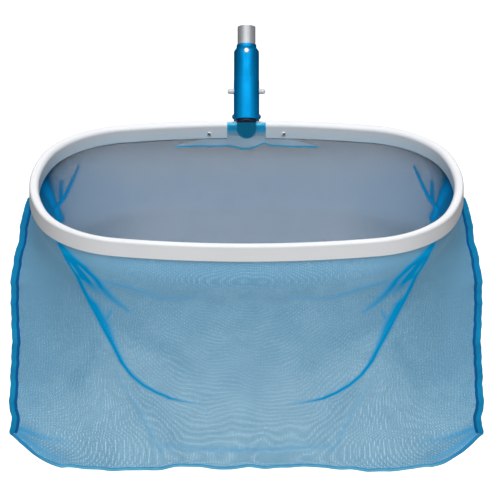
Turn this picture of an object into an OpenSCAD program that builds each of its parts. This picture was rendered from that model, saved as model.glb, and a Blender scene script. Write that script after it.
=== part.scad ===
// Deep-bag leaf skimmer net for a pool: an oval channel frame, a hanging net bag and a tube handle
// that a pole slides over and locks on with two spring buttons. The origin is on the handle's axis,
// on the stretch that a pole grips. +Z is up, the handle leans to +Y and the frame lies level.

/* [Frame] */
// Width of the frame over its outer faces
frame_w = 480; // [440:1:560]
// Length of the frame from front to back over its outer faces
frame_l = 320; // [300:1:352]
// Outer radius of the frame's four corners
corner_r = 113; // [100:1:118]
// Height of the frame's channel section
rail_h = 19; // [17:0.5:24]
// Thickness of the frame's channel section
rail_t = 10.6; // [9:0.2:14]
// Wall of the channel section
rail_wall = 1.4; // [1:0.1:2]
// Radius of the channel's inner top edge
rail_round = 5; // [2:0.5:6]
// Width of the slot between the channel's lips
slot_w = 3.6; // [3:0.1:4.4]
// Gap between the frame's two ends, at the handle
end_gap = 42; // [36:1:60]

/* [Handle] */
// Angle of the handle above the plane of the frame
handle_angle = 50; // [40:1:60]
// Outer diameter of the stretch that a pole grips, to run inside a 1 1/4 inch pole
tube_d = 28.6; // [26:0.1:32]
// How much the tube's radius grows below that stretch
foot_step = 0.2; // [0.16:0.02:0.3]
// Distance up the handle to the lower end of that stretch
grip_start = 57.5; // [54:0.5:60]
// Wall of the handle tube
tube_wall = 1.5; // [1.2:0.1:2]
// Distance up the handle from the frame's middle to the tube's cut front edge
tube_cut = 9.5; // [9:0.5:12]
// Distance up the handle to the end of its straight stretch
straight_end = 89.5; // [85:0.5:110]
// Length of the drawn-in shoulder and neck above the straight stretch
swage_len = 8.5; // [6:0.5:14]
// Outer diameter of the neck
neck_d = 22.6; // [20:0.1:24]
// Wall of the neck
neck_wall = 1; // [0.8:0.1:1.2]
// Width of the tongue that the tube leaves below its cut
tongue_w = 21.6; // [16:0.2:23]
// Distance that the tongue reaches below the frame's middle
tongue_drop = 8.7; // [5:0.1:12]
// Distance up the handle to the object's origin, on the stretch that a pole grips
grip_mid = 66; // [62:0.5:72]

/* [Pole stub] */
// Wall of the silver tube that stands out of the neck
stub_wall = 1.2; // [0.8:0.1:2]
// Distance up the handle to the stub's lower end
stub_start = 80; // [78:0.5:84]
// Distance up the handle to the stub's upper end
stub_end = 119.5; // [105:0.5:160]
// Diameter of the stud that pins the stub, seen in the handle's front
stud_d = 6.4; // [4:0.1:7]
// Diameter of the stud's narrow end, in the stub's wall
stud_neck_d = 3.2; // [2:0.1:3.8]
// Distance of the stud below the end of the straight stretch
stud_drop = 0.8; // [0:0.1:2]

/* [Lock buttons] */
// Diameter of each lock button, a quarter inch
button_d = 6.35; // [5:0.05:8]
// Distance that each button stands out of the tube
button_out = 7; // [4:0.5:7.5]
// Distance up the handle to the buttons
button_at = 43.8; // [42:0.1:50]
// Width of the spring strip
spring_w = 8; // [6:0.5:10]
// Thickness of the spring strip
spring_t = 0.7; // [0.5:0.05:0.9]
// Height of the spring above the buttons
spring_h = 30; // [24:0.5:33]
// Radius of the spring's bend
bend_r = 4; // [3:0.5:6]

/* [Joint to the frame] */
// Distance that the yoke bar reaches to each side
bar_reach = 75; // [60:1:90]
// Distance of each frame screw from the middle
screw_at = 42; // [34:0.5:55]
// Distance of each frame screw below the frame's top
screw_drop = 13; // [9:0.5:14]
// Diameter of the frame screws' shanks
screw_d = 3.2; // [2.5:0.1:4]
// Diameter of the frame screws' heads
screw_head_d = 5.4; // [5:0.1:7]
// Distance up the handle to the cross rivet
rivet_at = 14; // [13:0.5:18]
// Diameter of the cross rivet
rivet_d = 4; // [3:0.1:5]
// How far the rivet's heads stand out over its shank, across it
rivet_lip = 0.9; // [0.5:0.1:1.5]
// Height of the rivet's heads
rivet_head_h = 1.8; // [1:0.1:2.5]
// Distance up the handle to the top of the plug
plug_top = 32; // [26:0.5:34]
// Distance that the plug's foot reaches below the frame
plug_below = 1; // [0.5:0.1:3]

/* [Bag] */
// Depth of the bag, from the frame's top to the bag's lowest edge
bag_depth = 364; // [300:1:420]
// Width of the bag over its side seams
bag_w = 537; // [500:1:600]
// Height of the cut-off lower corners
corner_h = 45; // [30:1:60]
// Width taken off each lower corner
corner_w = 57; // [40:1:80]
// How much of a lower corner's cut is a bend into the bottom edge: 0 is a straight cut
corner_bend = 0.2; // [0:0.05:0.5]
// Thickness of the net panels
net_t = 0.8; // [0.6:0.1:1]
// How fast the bag closes towards its bottom seam: 1 is a straight wedge
wedge_power = 1.15; // [1:0.05:1.5]
// Distance that the side seams turn out at once below the frame
fin_out = 8; // [4:0.5:12]
// Height over which the side seams turn out
fin_h = 13.5; // [10:0.5:20]
// Distance over which the bag goes on flaring below that
flare = 75; // [40:1:90]
// Height over which the panels change from the mouth's oval to the bag
swell_h = 70; // [50:1:90]
// Width of the binding on the side seams
binding_w = 7.6; // [6:0.2:7.6]
// Width of the bottom hem
hem_w = 5; // [4:0.2:5.4]
// Thickness of the binding and hem tape
tape_t = 0.5; // [0.4:0.1:0.8]

/* [Mouth hem] */
// Diameter of the cord that locks the hem in the channel
cord_d = 4.2; // [3.6:0.1:4.4]
// Height of the hem's legs below the frame
leg_h = 5; // [4:0.5:8]
// Half width of the net casing at the handle
casing_reach = 81; // [78:1:100]
// Depth of the casing's lower edge below the frame's top
casing_drop = 28.5; // [26:0.5:34]
// How much lower the casing hangs in the middle
casing_dip = 2.5; // [1:0.5:4]

/* [Fits] */
// Clearance between a soft piece and what holds it
soft_gap = 0.3; // [0.3:0.05:0.4]
// Clearance of the yoke bar in the channel and in the plug
bar_gap = 0.2; // [0.15:0.05:0.4]
// Radial clearance of the plug, the rivet, the screws and the stub
fit_gap = 0.05; // [0.05:0.01:0.1]
// Radial clearance of the buttons in their holes
button_gap = 0.1; // [0.05:0.01:0.1]

/* [Hidden] */
curve_fn = 96;
ring_fn = 360;
tiny = 0.02;

// The frame's outline is eight tangent arcs. They meet on rays that run along two whole-number
// directions, whose lengths are whole too, so that every centre and every meeting plane is exact.
side_ray = [11, 60];
end_ray = [35, 12];
side_slack = norm(side_ray) - side_ray.y;
end_slack = norm(end_ray) - end_ray.x;
ray_span = side_ray.x * end_ray.y - side_slack * end_slack;
half_w = frame_w / 2;
half_l = frame_l / 2;
side_step = (end_ray.y * (half_w - corner_r) - end_slack * (half_l - corner_r)) / ray_span;
end_step = (side_ray.x * (half_l - corner_r) - side_slack * (half_w - corner_r)) / ray_span;
side_r = corner_r + norm(side_ray) * side_step;
end_r = corner_r + norm(end_ray) * end_step;
side_centre = [0, half_l - side_r];
end_centre = [half_w - end_r, 0];
corner_centre = [side_ray.x * side_step, end_ray.y * end_step];
sector_reach = 1.3;

// The channel section, measured from its outer face and its top
rail_mid = rail_t / 2;
cavity_round = rail_round - rail_wall;
lip_top = -(rail_h - rail_wall);

// The handle's own frame: z runs up its axis from the middle of the channel section
lean = handle_angle - 90;
axis_foot = [0, half_l - rail_mid, -rail_h / 2];
hoop_shift = -(axis_foot + grip_mid * [0, cos(handle_angle), sin(handle_angle)]);
tube_r = tube_d / 2;
sized_bore_r = tube_r - tube_wall;
foot_r = tube_r + foot_step;
foot_d = 2 * foot_r;
foot_end = grip_start - 2;
bore_r = foot_r - tube_wall;
neck_r = neck_d / 2;
neck_bore_r = neck_r - neck_wall;
tube_top = straight_end + swage_len;
swage_steps = 10;
swage_part = 0.74;
stub_r = neck_bore_r - fit_gap;
stud_at = straight_end - stud_drop;
stud_gap = 0.2;
plug_r = bore_r - fit_gap;

// The lock buttons and their spring
flange_lip = 1;
flange_r = button_d / 2 + flange_lip;
flange_t = 1.2;
flange_out = sqrt(bore_r ^ 2 - flange_r ^ 2) - soft_gap;
tip_x = foot_r + button_out;
tip_round = 2.6;
arm_x = flange_out - flange_t - soft_gap - spring_t / 2;
bend_steps = 12;
seat_half = 5;
tail_in = 1.5;
tail_len = 7;

// The yoke bar fills the channel above its lips
bar_t = rail_t - 2 * rail_wall - 2 * bar_gap;
bar_top = -(rail_wall + bar_gap);
bar_bottom = lip_top + bar_gap;
bar_round = cavity_round - bar_gap;
screw_z = -screw_drop;
screw_head_h = 1.2;
screw_seat = rail_wall / 2 - fit_gap;
screw_len = rail_t - 2 * rail_wall + fit_gap;
recess_w = 0.8;
recess_depth = 0.7;
plug_face = half_l - rail_t;
plug_foot = -(rail_h + plug_below);

// The hem's sleeve sits on the lips, a clearance above them
sleeve_in_r = cord_d / 2 + soft_gap;
sleeve_r = sleeve_in_r + tape_t;
sleeve_z = lip_top + sqrt((sleeve_r + soft_gap) ^ 2 - (slot_w / 2) ^ 2);
hem_neck_t = 2 * tape_t + 2 * soft_gap;
hem_top = -(rail_h + soft_gap);
leg_in = net_t / 2 + soft_gap;
leg_out = leg_in + tape_t;
leg_bottom = -(rail_h + leg_h);
panel_top = hem_top - 3 * tape_t - soft_gap;
bar_end_gap = 1.5;
cord_end = bar_reach + bar_end_gap;

// The two net panels lie side by side in the side binding and in the bottom hem
panel_y = net_t / 2 + soft_gap / 2;
bound_y = net_t + soft_gap / 2;
edge_half_w = bag_w / 2 - tape_t - soft_gap;
top_half_w = half_w - rail_mid;
bag_bottom = -(bag_depth - tape_t - soft_gap);
corner_top = -(bag_depth - corner_h);
flat_bottom = bag_bottom + hem_w + 2 * tape_t;
swell_start = leg_bottom - soft_gap;
fin_full = swell_start - fin_h;
swell_end = swell_start - swell_h;
bend_power = 6;
row_power = 1.4;
side_rows = 8;
foot_rows = 4;
half_columns = 26;
fin_share = 0.03;

// ---------- The frame's outline ----------

// One arc of the outline: its centre, its outer radius, and the rays between which it runs
module arc_piece(centre, radius, from_ray, to_ray) {
    from_reach = from_ray * ceil(sector_reach * radius / norm(from_ray));
    to_reach = to_ray * ceil(sector_reach * radius / norm(to_ray));
    translate([centre.x, centre.y, 0])
    intersection() {
        rotate_extrude($fn = ring_fn) translate([radius, 0]) children();
        translate([0, 0, -2 * rail_h]) linear_extrude(4 * rail_h) polygon([[0, 0], from_reach, to_reach]);
    }
}

// A section swept once round the frame: x is measured outwards from the outer face, y upwards
module round_frame() {
    for (back = [0, 1]) mirror([0, 1 - back, 0]) {
        arc_piece(side_centre, side_r, side_ray, [-side_ray.x, side_ray.y]) children();
        for (left = [0, 1]) mirror([left, 0, 0])
            arc_piece(corner_centre, corner_r, side_ray, end_ray) children();
    }
    for (left = [0, 1]) mirror([left, 0, 0]) {
        arc_piece(end_centre, end_r, end_ray, [end_ray.x, -end_ray.y]) children();
    }
}

// A section swept along the back of the frame, to a reach on each side of the middle
module along_back(reach) {
    intersection() {
        translate([side_centre.x, side_centre.y, 0])
        rotate_extrude($fn = ring_fn) translate([side_r, 0]) children();
        translate([-reach, 0, -2 * rail_h]) cube([2 * reach, frame_l, 4 * rail_h]);
    }
}

// A block that takes everything out of the back between two sides
module back_cut(reach) {
    translate([-reach, half_l / 2, -3 * rail_h]) cube([2 * reach, frame_l, 4 * rail_h]);
}

// Puts a piece that is drawn with the frame's centre at its top into the object's own frame
module at_frame() {
    translate(hoop_shift) children();
}

// Puts a piece that is drawn along the handle, with z up its axis, into the object's own frame
module along_handle() {
    rotate([lean, 0, 0]) translate([0, 0, -grip_mid]) children();
}

// A plain section of the channel's outer form, with its inner top edge rounded
module skin_section(low, high, inner, outer, edge_r) {
    difference() {
        translate([inner, low]) square([outer - inner, high - low]);
        difference() {
            translate([inner - tiny, high - edge_r]) square([edge_r + tiny, edge_r + tiny]);
            translate([inner + edge_r, high - edge_r]) circle(r = edge_r, $fn = curve_fn);
        }
    }
}

// ---------- Frame and its joint to the handle ----------

// Open channel with two lips, bent to the outline and cut square at the handle
module frame_rail() {
    color("whitesmoke")
    at_frame()
    difference() {
        round_frame() difference() {
            skin_section(-rail_h, 0, -rail_t, 0, rail_round);
            skin_section(lip_top, -rail_wall, rail_wall - rail_t, -rail_wall, cavity_round);
            translate([-rail_mid - slot_w / 2, -rail_h - 1]) square([slot_w, rail_wall + 2]);
        }
        back_cut(end_gap / 2);
        screw_holes(2 * rail_wall);
    }
}

// A frame screw's place: z runs from the frame's inner face out through the section
module at_screw(side) {
    turn = asin(screw_at / (side_r - rail_t));
    translate([side_centre.x, side_centre.y, screw_z])
    rotate([0, 0, -side * turn])
    translate([0, side_r - rail_t - rail_wall / 2, 0])
    rotate([-90, 0, 0]) children();
}

// The clearance holes of both frame screws, to a depth behind the frame's inner wall
module screw_holes(deep) {
    for (side = [-1, 1]) at_screw(side) cylinder(h = deep, d = screw_d + 2 * fit_gap, $fn = curve_fn);
}

// The bar's section, or with a gap round it the space that it passes through
module bar_section(gap) {
    side = bar_t / 2 + gap;
    skin_section(bar_bottom - gap, bar_top + gap, -rail_mid - side, -rail_mid + side, bar_round + gap);
}

// Bar that joins the frame's two ends inside the channel
module yoke_bar() {
    color("silver")
    at_frame()
    difference() {
        along_back(bar_reach) bar_section(0);
        screw_holes(rail_t);
    }
}

// Two cross-recess screws that hold the bar from inside the frame
module rail_screws() {
    head_foot = screw_seat - screw_head_h;
    recess_l = 2 * screw_head_d / 3;
    color("gainsboro")
    at_frame()
    for (side = [-1, 1]) at_screw(side) {
        translate([0, 0, screw_seat - tiny]) cylinder(h = screw_len + tiny, d = screw_d, $fn = curve_fn);
        difference() {
            translate([0, 0, head_foot])
            cylinder(h = screw_head_h, d1 = screw_head_d - screw_head_h, d2 = screw_head_d, $fn = curve_fn);
            for (turn = [-45, 45]) rotate([0, 0, turn])
                translate([-recess_l / 2, -recess_w / 2, head_foot - tiny])
                cube([recess_l, recess_w, recess_depth]);
        }
    }
}

// The outline of the tube's tongue and of the plug's foot: straight sides and a round end
module tongue_outline(width, bottom, top) {
    translate([0, bottom + width / 2]) circle(d = width, $fn = curve_fn);
    translate([-width / 2, bottom + width / 2]) square([width, top - bottom - width / 2]);
}

// The plug's round rod between two distances up the handle
module plug_rod(low, high) {
    translate([0, 0, low]) cylinder(h = high - low, r = plug_r, $fn = curve_fn);
}

// The hole for the cross rivet, through whatever it passes
module rivet_hole() {
    translate([-foot_d, 0, rivet_at]) rotate([0, 90, 0])
    cylinder(h = 2 * foot_d, d = rivet_d + 2 * fit_gap, $fn = curve_fn);
}

// Moulded plug that fills the tube's foot and wraps round the bar
module handle_plug() {
    color("midnightblue")
    difference() {
        union() {
            along_handle() plug_rod(tube_cut, plug_top);
            intersection() {
                along_handle() plug_rod(-foot_d, tube_cut + tiny);
                at_frame() translate([0, plug_face + frame_l, 0]) rotate([90, 0, 0])
                linear_extrude(frame_l) tongue_outline(tongue_w, plug_foot, 2 * rail_h);
            }
        }
        at_frame() along_back(tube_d) bar_section(bar_gap);
        along_handle() rivet_hole();
    }
}

// Rivet through the tube's two sides and the plug, with a domed head at each end
module cross_rivet() {
    head_r = rivet_d / 2 + rivet_lip;
    dome_steps = 6;
    seat = foot_r + fit_gap;
    head = [
        for (i = [0 : dome_steps])
        let (a = 90 * i / dome_steps)
        [head_r * cos(a), seat + rivet_head_h * sin(a)]
    ];
    half = concat([[rivet_d / 2, seat]], head);
    color("lightsteelblue")
    along_handle() translate([0, 0, rivet_at]) rotate([0, 90, 0])
    rotate_extrude($fn = curve_fn) polygon(concat(
        half, [for (i = [dome_steps + 1 : -1 : 0]) [half[i].x, -half[i].y]]
    ));
}

// ---------- Handle ----------

// How far the swage has drawn the tube in, as a share of its whole step, in a smooth S that is done at
// swage_part of its length and leaves the rest as a straight neck
function swage(share) = (1 - cos(180 * min(1, share / swage_part))) / 2;

// The swaged stretch between two radii, from the bottom up
function swage_curve(low_r, high_r) = [
    for (i = [0 : swage_steps])
    let (share = i / swage_steps)
    [low_r + (high_r - low_r) * swage(share), straight_end + swage_len * share]
];

// Tube with a drawn-in neck at the top and a tongue left at its foot
module handle_tube() {
    outside = concat([[foot_r, foot_end], [tube_r, grip_start]], swage_curve(tube_r, neck_r));
    inside = concat(
        [[bore_r, foot_end], [sized_bore_r, grip_start]],
        swage_curve(sized_bore_r, neck_bore_r)
    );
    color("dodgerblue")
    along_handle()
    difference() {
        intersection() {
            rotate_extrude($fn = ring_fn) polygon(concat(
                [[bore_r, -tongue_drop], [foot_r, -tongue_drop]], outside,
                [for (i = [len(inside) - 1 : -1 : 0]) inside[i]]
            ));
            union() {
                translate([0, 0, tube_cut]) cylinder(h = tube_top, r = tube_d, $fn = curve_fn);
                translate([0, tube_d, 0]) rotate([90, 0, 0])
                linear_extrude(tube_d) tongue_outline(tongue_w, -tongue_drop, tube_cut + tiny);
            }
        }
        translate([-tube_d, 0, button_at]) rotate([0, 90, 0])
        cylinder(h = 2 * tube_d, r = button_d / 2 + button_gap, $fn = curve_fn);
        rivet_hole();
        stud_hole(stud_d + 2 * stud_gap);
    }
}

// A hole for the stud, from the handle's axis out through its front
module stud_hole(d) {
    translate([0, 0, stud_at]) rotate([90, 0, 0]) cylinder(h = tube_d, d = d, $fn = curve_fn);
}

// Silver tube held in the swaged neck
module pole_stub() {
    color("silver")
    along_handle()
    difference() {
        translate([0, 0, stub_start]) cylinder(h = stub_end - stub_start, r = stub_r, $fn = ring_fn);
        cylinder(h = 2 * stub_end, r = stub_r - stub_wall, $fn = ring_fn);
        stud_hole(stud_neck_d + 2 * fit_gap);
    }
}

// Stepped stud that pins the stub: its wide end fills the hole in the handle's front
module stub_stud() {
    neck_len = stub_wall + fit_gap;
    color("whitesmoke")
    along_handle() translate([0, 0, stud_at]) rotate([90, 0, 0]) {
        translate([0, 0, stub_r - stub_wall]) cylinder(h = neck_len + tiny, d = stud_neck_d, $fn = curve_fn);
        translate([0, 0, stub_r + fit_gap]) cylinder(h = sized_bore_r - stub_r, d = stud_d, $fn = curve_fn);
        translate([0, 0, sized_bore_r])
        cylinder(h = tube_wall / 2, d1 = stud_d, d2 = stud_d - tube_wall, $fn = curve_fn);
    }
}

// The middle line of the spring, from the left tail over the bend to the right tail
spring_arm = [[arm_x, seat_half], [arm_x, -seat_half], [arm_x - tail_in, -tail_len]];
spring_path = concat(
    [for (i = [2 : -1 : 0]) [-spring_arm[i].x, spring_arm[i].y]],
    [for (i = [0 : bend_steps])
        let (a = 180 * (1 - i / bend_steps))
        [bend_r * cos(a), spring_h - bend_r + bend_r * sin(a)]],
    spring_arm
);

// The two sides of a strip that follows a path at half its thickness
function strip_side(path, off) = [
    for (i = [0 : len(path) - 1])
    let (
        before = path[max(0, i - 1)],
        after = path[min(len(path) - 1, i + 1)],
        way = (after - before) / norm(after - before)
    )
    path[i] + off * [-way.y, way.x]
];

// V-shaped strip spring behind the two buttons
module clip_spring() {
    outer = strip_side(spring_path, spring_t / 2);
    inner = strip_side(spring_path, -spring_t / 2);
    last = len(spring_path) - 1;
    color("gainsboro")
    along_handle() translate([0, spring_w / 2, button_at]) rotate([90, 0, 0]) linear_extrude(spring_w)
    polygon(concat(outer, [for (i = [last : -1 : 0]) inner[i]]));
}

// Button drawn along z from the handle's axis: an inner flange, a stem and a rounded tip
module button() {
    tip_steps = 8;
    stem_r = button_d / 2;
    rotate_extrude($fn = curve_fn) polygon(concat(
        [[0, flange_out - flange_t], [flange_r, flange_out - flange_t]],
        [[flange_r, flange_out], [stem_r, flange_out]],
        [for (i = [0 : tip_steps]) let (a = 90 * i / tip_steps)
            [stem_r - tip_round + tip_round * cos(a), tip_x - tip_round + tip_round * sin(a)]],
        [[0, tip_x]]
    ));
}

module button_left() {
    color("white")
    along_handle() translate([0, 0, button_at]) rotate([0, -90, 0]) button();
}

module button_right() {
    color("white")
    along_handle() translate([0, 0, button_at]) rotate([0, 90, 0]) button();
}

// ---------- Mouth hem ----------

// Cord that locks the hem into the channel, open where the bar takes its place
module lock_cord() {
    color("white")
    at_frame()
    difference() {
        round_frame() translate([-rail_mid, sleeve_z]) circle(d = cord_d, $fn = curve_fn);
        back_cut(cord_end);
    }
}

// Hem tape: a sleeve round the cord, a neck through the slot and two legs on the net's edge
module mouth_hem() {
    color("steelblue")
    at_frame()
    difference() {
        round_frame() translate([-rail_mid, 0]) difference() {
            union() {
                translate([0, sleeve_z]) circle(r = sleeve_r, $fn = curve_fn);
                translate([-hem_neck_t / 2, hem_top - tiny])
                    square([hem_neck_t, sleeve_z - hem_top]);
                translate([-leg_out, leg_bottom]) square([2 * leg_out, hem_top - leg_bottom]);
            }
            translate([0, sleeve_z]) circle(r = sleeve_in_r, $fn = curve_fn);
            translate([-leg_in, leg_bottom - 1]) square([2 * leg_in, panel_top + soft_gap - leg_bottom + 1]);
        }
        back_cut(cord_end);
    }
}

// Wide net casing that closes the gap at the handle and hangs just below the frame
module hem_casing() {
    tab_w = end_gap - 1;
    tab_top = -1;
    band_top = -(rail_h + soft_gap);
    color("lightskyblue")
    at_frame()
    intersection() {
        along_back(casing_reach)
        translate([-rail_t - soft_gap - net_t, -2 * rail_h]) square([net_t, 2 * rail_h]);
        translate([0, frame_l, 0]) rotate([90, 0, 0]) linear_extrude(frame_l) polygon([
            [-casing_reach, band_top], [-tab_w / 2, band_top], [-tab_w / 2, tab_top],
            [tab_w / 2, tab_top], [tab_w / 2, band_top], [casing_reach, band_top],
            [casing_reach, -casing_drop], [tab_w, -casing_drop], [0, -casing_drop - casing_dip],
            [-tab_w, -casing_drop], [-casing_reach, -casing_drop]
        ]);
    }
}

// ---------- Bag ----------

// A number carried from 0 to 1 between two heights, going down, with soft ends
function ease_down(z, high, low) =
    let (k = max(0, min(1, (high - z) / (high - low)))) k * k * (3 - 2 * k);

function blend(a, b, k) = a + (b - a) * k;

// A point of the hem's line in one quarter of the outline, from the frame's end (0) to its front (1)
function quarter_point(share) =
    let (
        end_turn = atan2(end_ray.y, end_ray.x),
        side_turn = atan2(side_ray.y, side_ray.x),
        end_len = (end_r - rail_mid) * end_turn,
        corner_len = (corner_r - rail_mid) * (side_turn - end_turn),
        side_len = (side_r - rail_mid) * atan2(side_ray.x, side_ray.y),
        d = share * (end_len + corner_len + side_len)
    )
    d < end_len ? end_centre + (end_r - rail_mid) * ray(d / (end_r - rail_mid)) :
    d < end_len + corner_len
    ? corner_centre + (corner_r - rail_mid) * ray(end_turn + (d - end_len) / (corner_r - rail_mid))
    : side_centre + (side_r - rail_mid) * ray(side_turn + (d - end_len - corner_len) / (side_r - rail_mid));

function ray(angle) = [cos(angle), sin(angle)];

// Half width of the net panels at a height: a flare below the frame, straight sides, cut-off corners
function panel_half_w(z) =
    z > corner_top
    ? edge_half_w - (edge_half_w - top_half_w - fin_out) * exp((z - swell_start) / flare)
    : let (share = (corner_top - z) / (corner_top - bag_bottom))
      panel_half_w(corner_top + tiny) - corner_w * blend(share, pow(share, bend_power), corner_bend);

// Heights of the net's rows: between the hem's legs, over the turn of the side seams, then down the
// side, and last down the cut-off corner
row_z = concat(
    [panel_top, swell_start, (swell_start + fin_full) / 2, fin_full],
    [for (j = [1 : side_rows]) blend(fin_full, corner_top, pow(j / side_rows, row_power))],
    [for (j = [1 : foot_rows]) blend(corner_top, flat_bottom, j / foot_rows)],
    [bag_bottom]
);
rows = len(row_z) - 1;
fin_row = 3;
side_end = fin_row + side_rows;

// Shares of the columns across one half of a panel: the edge, the seam line, then evenly to the middle
half_shares = concat([0], [for (i = [0 : half_columns - 1]) blend(fin_share, 1, i / (half_columns - 1))]);

// A point on a panel's middle surface: a share from the side seam (0) to the middle (1), at a height
function panel_point(share, z) =
    let (
        top = share == 0 ? [top_half_w, soft_gap / 2] : quarter_point(share),
        open = pow(max(0, (z - flat_bottom) / (leg_bottom - flat_bottom)), wedge_power),
        lens = share <= fin_share ? 0 : quarter_point((share - fin_share) / (1 - fin_share)).y,
        low = [panel_half_w(z) * (1 - share), panel_y + lens * min(1, open)],
        k = ease_down(z, swell_start, share <= fin_share ? fin_full : swell_end)
    )
    [blend(top.x, low.x, k), blend(top.y, low.y, k), z];

// The whole panel's middle surface, one list of points for each row, from left to right
function panel_grid() = [
    for (z = row_z)
    let (half = [for (share = half_shares) panel_point(share, z)])
    concat([for (p = half) [-p.x, p.y, p.z]], [for (i = [len(half) - 2 : -1 : 0]) half[i]])
];

// The unit normal of a grid at one of its points
function grid_normal(grid, j, i) =
    let (
        across = grid[j][min(len(grid[0]) - 1, i + 1)] - grid[j][max(0, i - 1)],
        down = grid[min(rows, j + 1)][i] - grid[max(0, j - 1)][i],
        n = cross(across, down)
    )
    n / norm(n);

// A net panel: the grid thickened to both sides and closed round its edge
module net_panel() {
    grid = panel_grid();
    wide = len(grid[0]);
    offsets = [for (j = [0 : rows]) for (i = [0 : wide - 1]) grid_normal(grid, j, i) * net_t / 2];
    middle = [for (row = grid) for (p = row) p];
    front = middle - offsets;
    back = middle + offsets;
    count = len(front);
    rim = concat(
        [for (i = [0 : wide - 1]) i],
        [for (j = [1 : rows]) j * wide + wide - 1],
        [for (i = [wide - 2 : -1 : 0]) rows * wide + i],
        [for (j = [rows - 1 : -1 : 1]) j * wide]
    );
    rim_len = len(rim);
    polyhedron(
        points = concat(front, back),
        faces = concat(
            [for (j = [0 : rows - 1]) for (i = [0 : wide - 2]) for (half = [0, 1])
                let (a = j * wide + i)
                half == 0 ? [a, a + 1, a + wide + 1] : [a, a + wide + 1, a + wide]],
            [for (j = [0 : rows - 1]) for (i = [0 : wide - 2]) for (half = [0, 1])
                let (a = count + j * wide + i)
                half == 0 ? [a, a + wide + 1, a + 1] : [a, a + wide, a + wide + 1]],
            [for (k = [0 : rim_len - 1]) for (half = [0, 1])
                let (a = rim[k], b = rim[(k + 1) % rim_len])
                half == 0 ? [b, a, count + a] : [b, count + a, count + b]]
        )
    );
}

module net_back() {
    color("lightsteelblue")
    at_frame() net_panel();
}

module net_front() {
    color("cornflowerblue")
    at_frame() mirror([0, 1, 0]) net_panel();
}

// The panels' right edge, as points of x and z, between two rows
function edge_line(from_row, to_row) = [for (j = [from_row : to_row]) [panel_half_w(row_z[j]), row_z[j]]];

// The way into the net at each point of a line that runs down the right edge
function inward(line, i) =
    let (way = line[min(len(line) - 1, i + 1)] - line[max(0, i - 1)])
    [way.y, -way.x] / norm(way);

// Tape folded round both panels' edges: a U-shaped section carried along a line in the x-z plane
module folded_tape(line, ways, width) {
    web_in = -soft_gap;
    web_out = -soft_gap - tape_t;
    leg_low = bound_y + soft_gap;
    leg_high = leg_low + tape_t;
    reach = width - soft_gap - tape_t;
    section = [
        [web_out, -leg_high], [web_out, leg_high], [reach, leg_high], [reach, leg_low],
        [web_in, leg_low], [web_in, -leg_low], [reach, -leg_low], [reach, -leg_high]
    ];
    sides = len(section);
    last = len(line) - 1;
    ring_faces = [[0, 1, 4], [0, 4, 5], [1, 2, 4], [2, 3, 4], [0, 5, 7], [5, 6, 7]];
    polyhedron(
        points = [
            for (k = [0 : last]) for (s = section)
            [line[k].x + ways[k].x * s.x, s.y, line[k].y + ways[k].y * s.x]
        ],
        faces = concat(
            [for (f = ring_faces) [f[0], f[1], f[2]]],
            [for (f = ring_faces) [for (v = [2, 1, 0]) last * sides + f[v]]],
            [for (k = [0 : last - 1]) for (s = [0 : sides - 1]) for (half = [0, 1])
                let (a = k * sides + s, b = k * sides + (s + 1) % sides)
                half == 0 ? [a, a + sides, b + sides] : [a, b + sides, b]]
        )
    );
}

// Side binding, from where the seam has turned out below the frame down to the cut-off corner
module side_binding() {
    line = edge_line(fin_row, side_end);
    last = len(line) - 1;
    ways = [for (i = [0 : last]) i == last ? [-1, 0] : inward(line, i)];
    folded_tape(line, ways, binding_w);
}

module seam_right() {
    color("royalblue")
    at_frame() side_binding();
}

module seam_left() {
    color("royalblue")
    at_frame() mirror([1, 0, 0]) side_binding();
}

// Bottom hem, along both cut-off corners and the lowest edge
module bottom_hem() {
    start_z = corner_top - 2 * soft_gap;
    right = concat([[panel_half_w(start_z), start_z]], edge_line(side_end + 1, rows));
    left = [for (i = [len(right) - 1 : -1 : 0]) [-right[i].x, right[i].y]];
    line = concat(right, left);
    last = len(line) - 1;
    ways = [for (i = [0 : last]) i == 0 ? [-1, 0] : i == last ? [1, 0] : inward(line, i)];
    color("cornflowerblue")
    at_frame() folded_tape(line, ways, hem_w);
}

frame_rail();
yoke_bar();
rail_screws();
handle_plug();
handle_tube();
cross_rivet();
pole_stub();
stub_stud();
clip_spring();
button_left();
button_right();
lock_cord();
mouth_hem();
hem_casing();
net_front();
net_back();
seam_left();
seam_right();
bottom_hem();
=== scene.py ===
"""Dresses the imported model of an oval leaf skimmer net.

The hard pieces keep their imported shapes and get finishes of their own. The frame's channel, the hems,
the bindings and the net itself are built here as surfaces worked out with numpy. All lengths are in
metres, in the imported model's frame.
"""

import enum
import logging
import math
from dataclasses import dataclass, field

import bpy
import numpy as np
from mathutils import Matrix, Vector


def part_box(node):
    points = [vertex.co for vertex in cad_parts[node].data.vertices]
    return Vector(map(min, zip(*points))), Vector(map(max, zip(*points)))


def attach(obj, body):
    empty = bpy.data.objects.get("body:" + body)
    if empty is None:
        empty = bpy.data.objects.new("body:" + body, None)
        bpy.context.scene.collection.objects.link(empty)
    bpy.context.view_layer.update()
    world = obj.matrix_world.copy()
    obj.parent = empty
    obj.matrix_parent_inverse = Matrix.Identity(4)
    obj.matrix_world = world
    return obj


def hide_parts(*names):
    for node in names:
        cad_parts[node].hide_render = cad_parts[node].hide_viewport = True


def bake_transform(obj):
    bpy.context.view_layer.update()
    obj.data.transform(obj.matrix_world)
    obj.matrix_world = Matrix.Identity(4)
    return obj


Array = np.ndarray
Point = tuple[float, float, float]
Colour = tuple[float, float, float]
Pair = tuple[float, float]
Line = tuple[Pair, ...]
Waves = tuple[tuple[float, float, float], ...]
Socket = bpy.types.NodeSocket
Material = bpy.types.Material
Piece = bpy.types.Object

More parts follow.
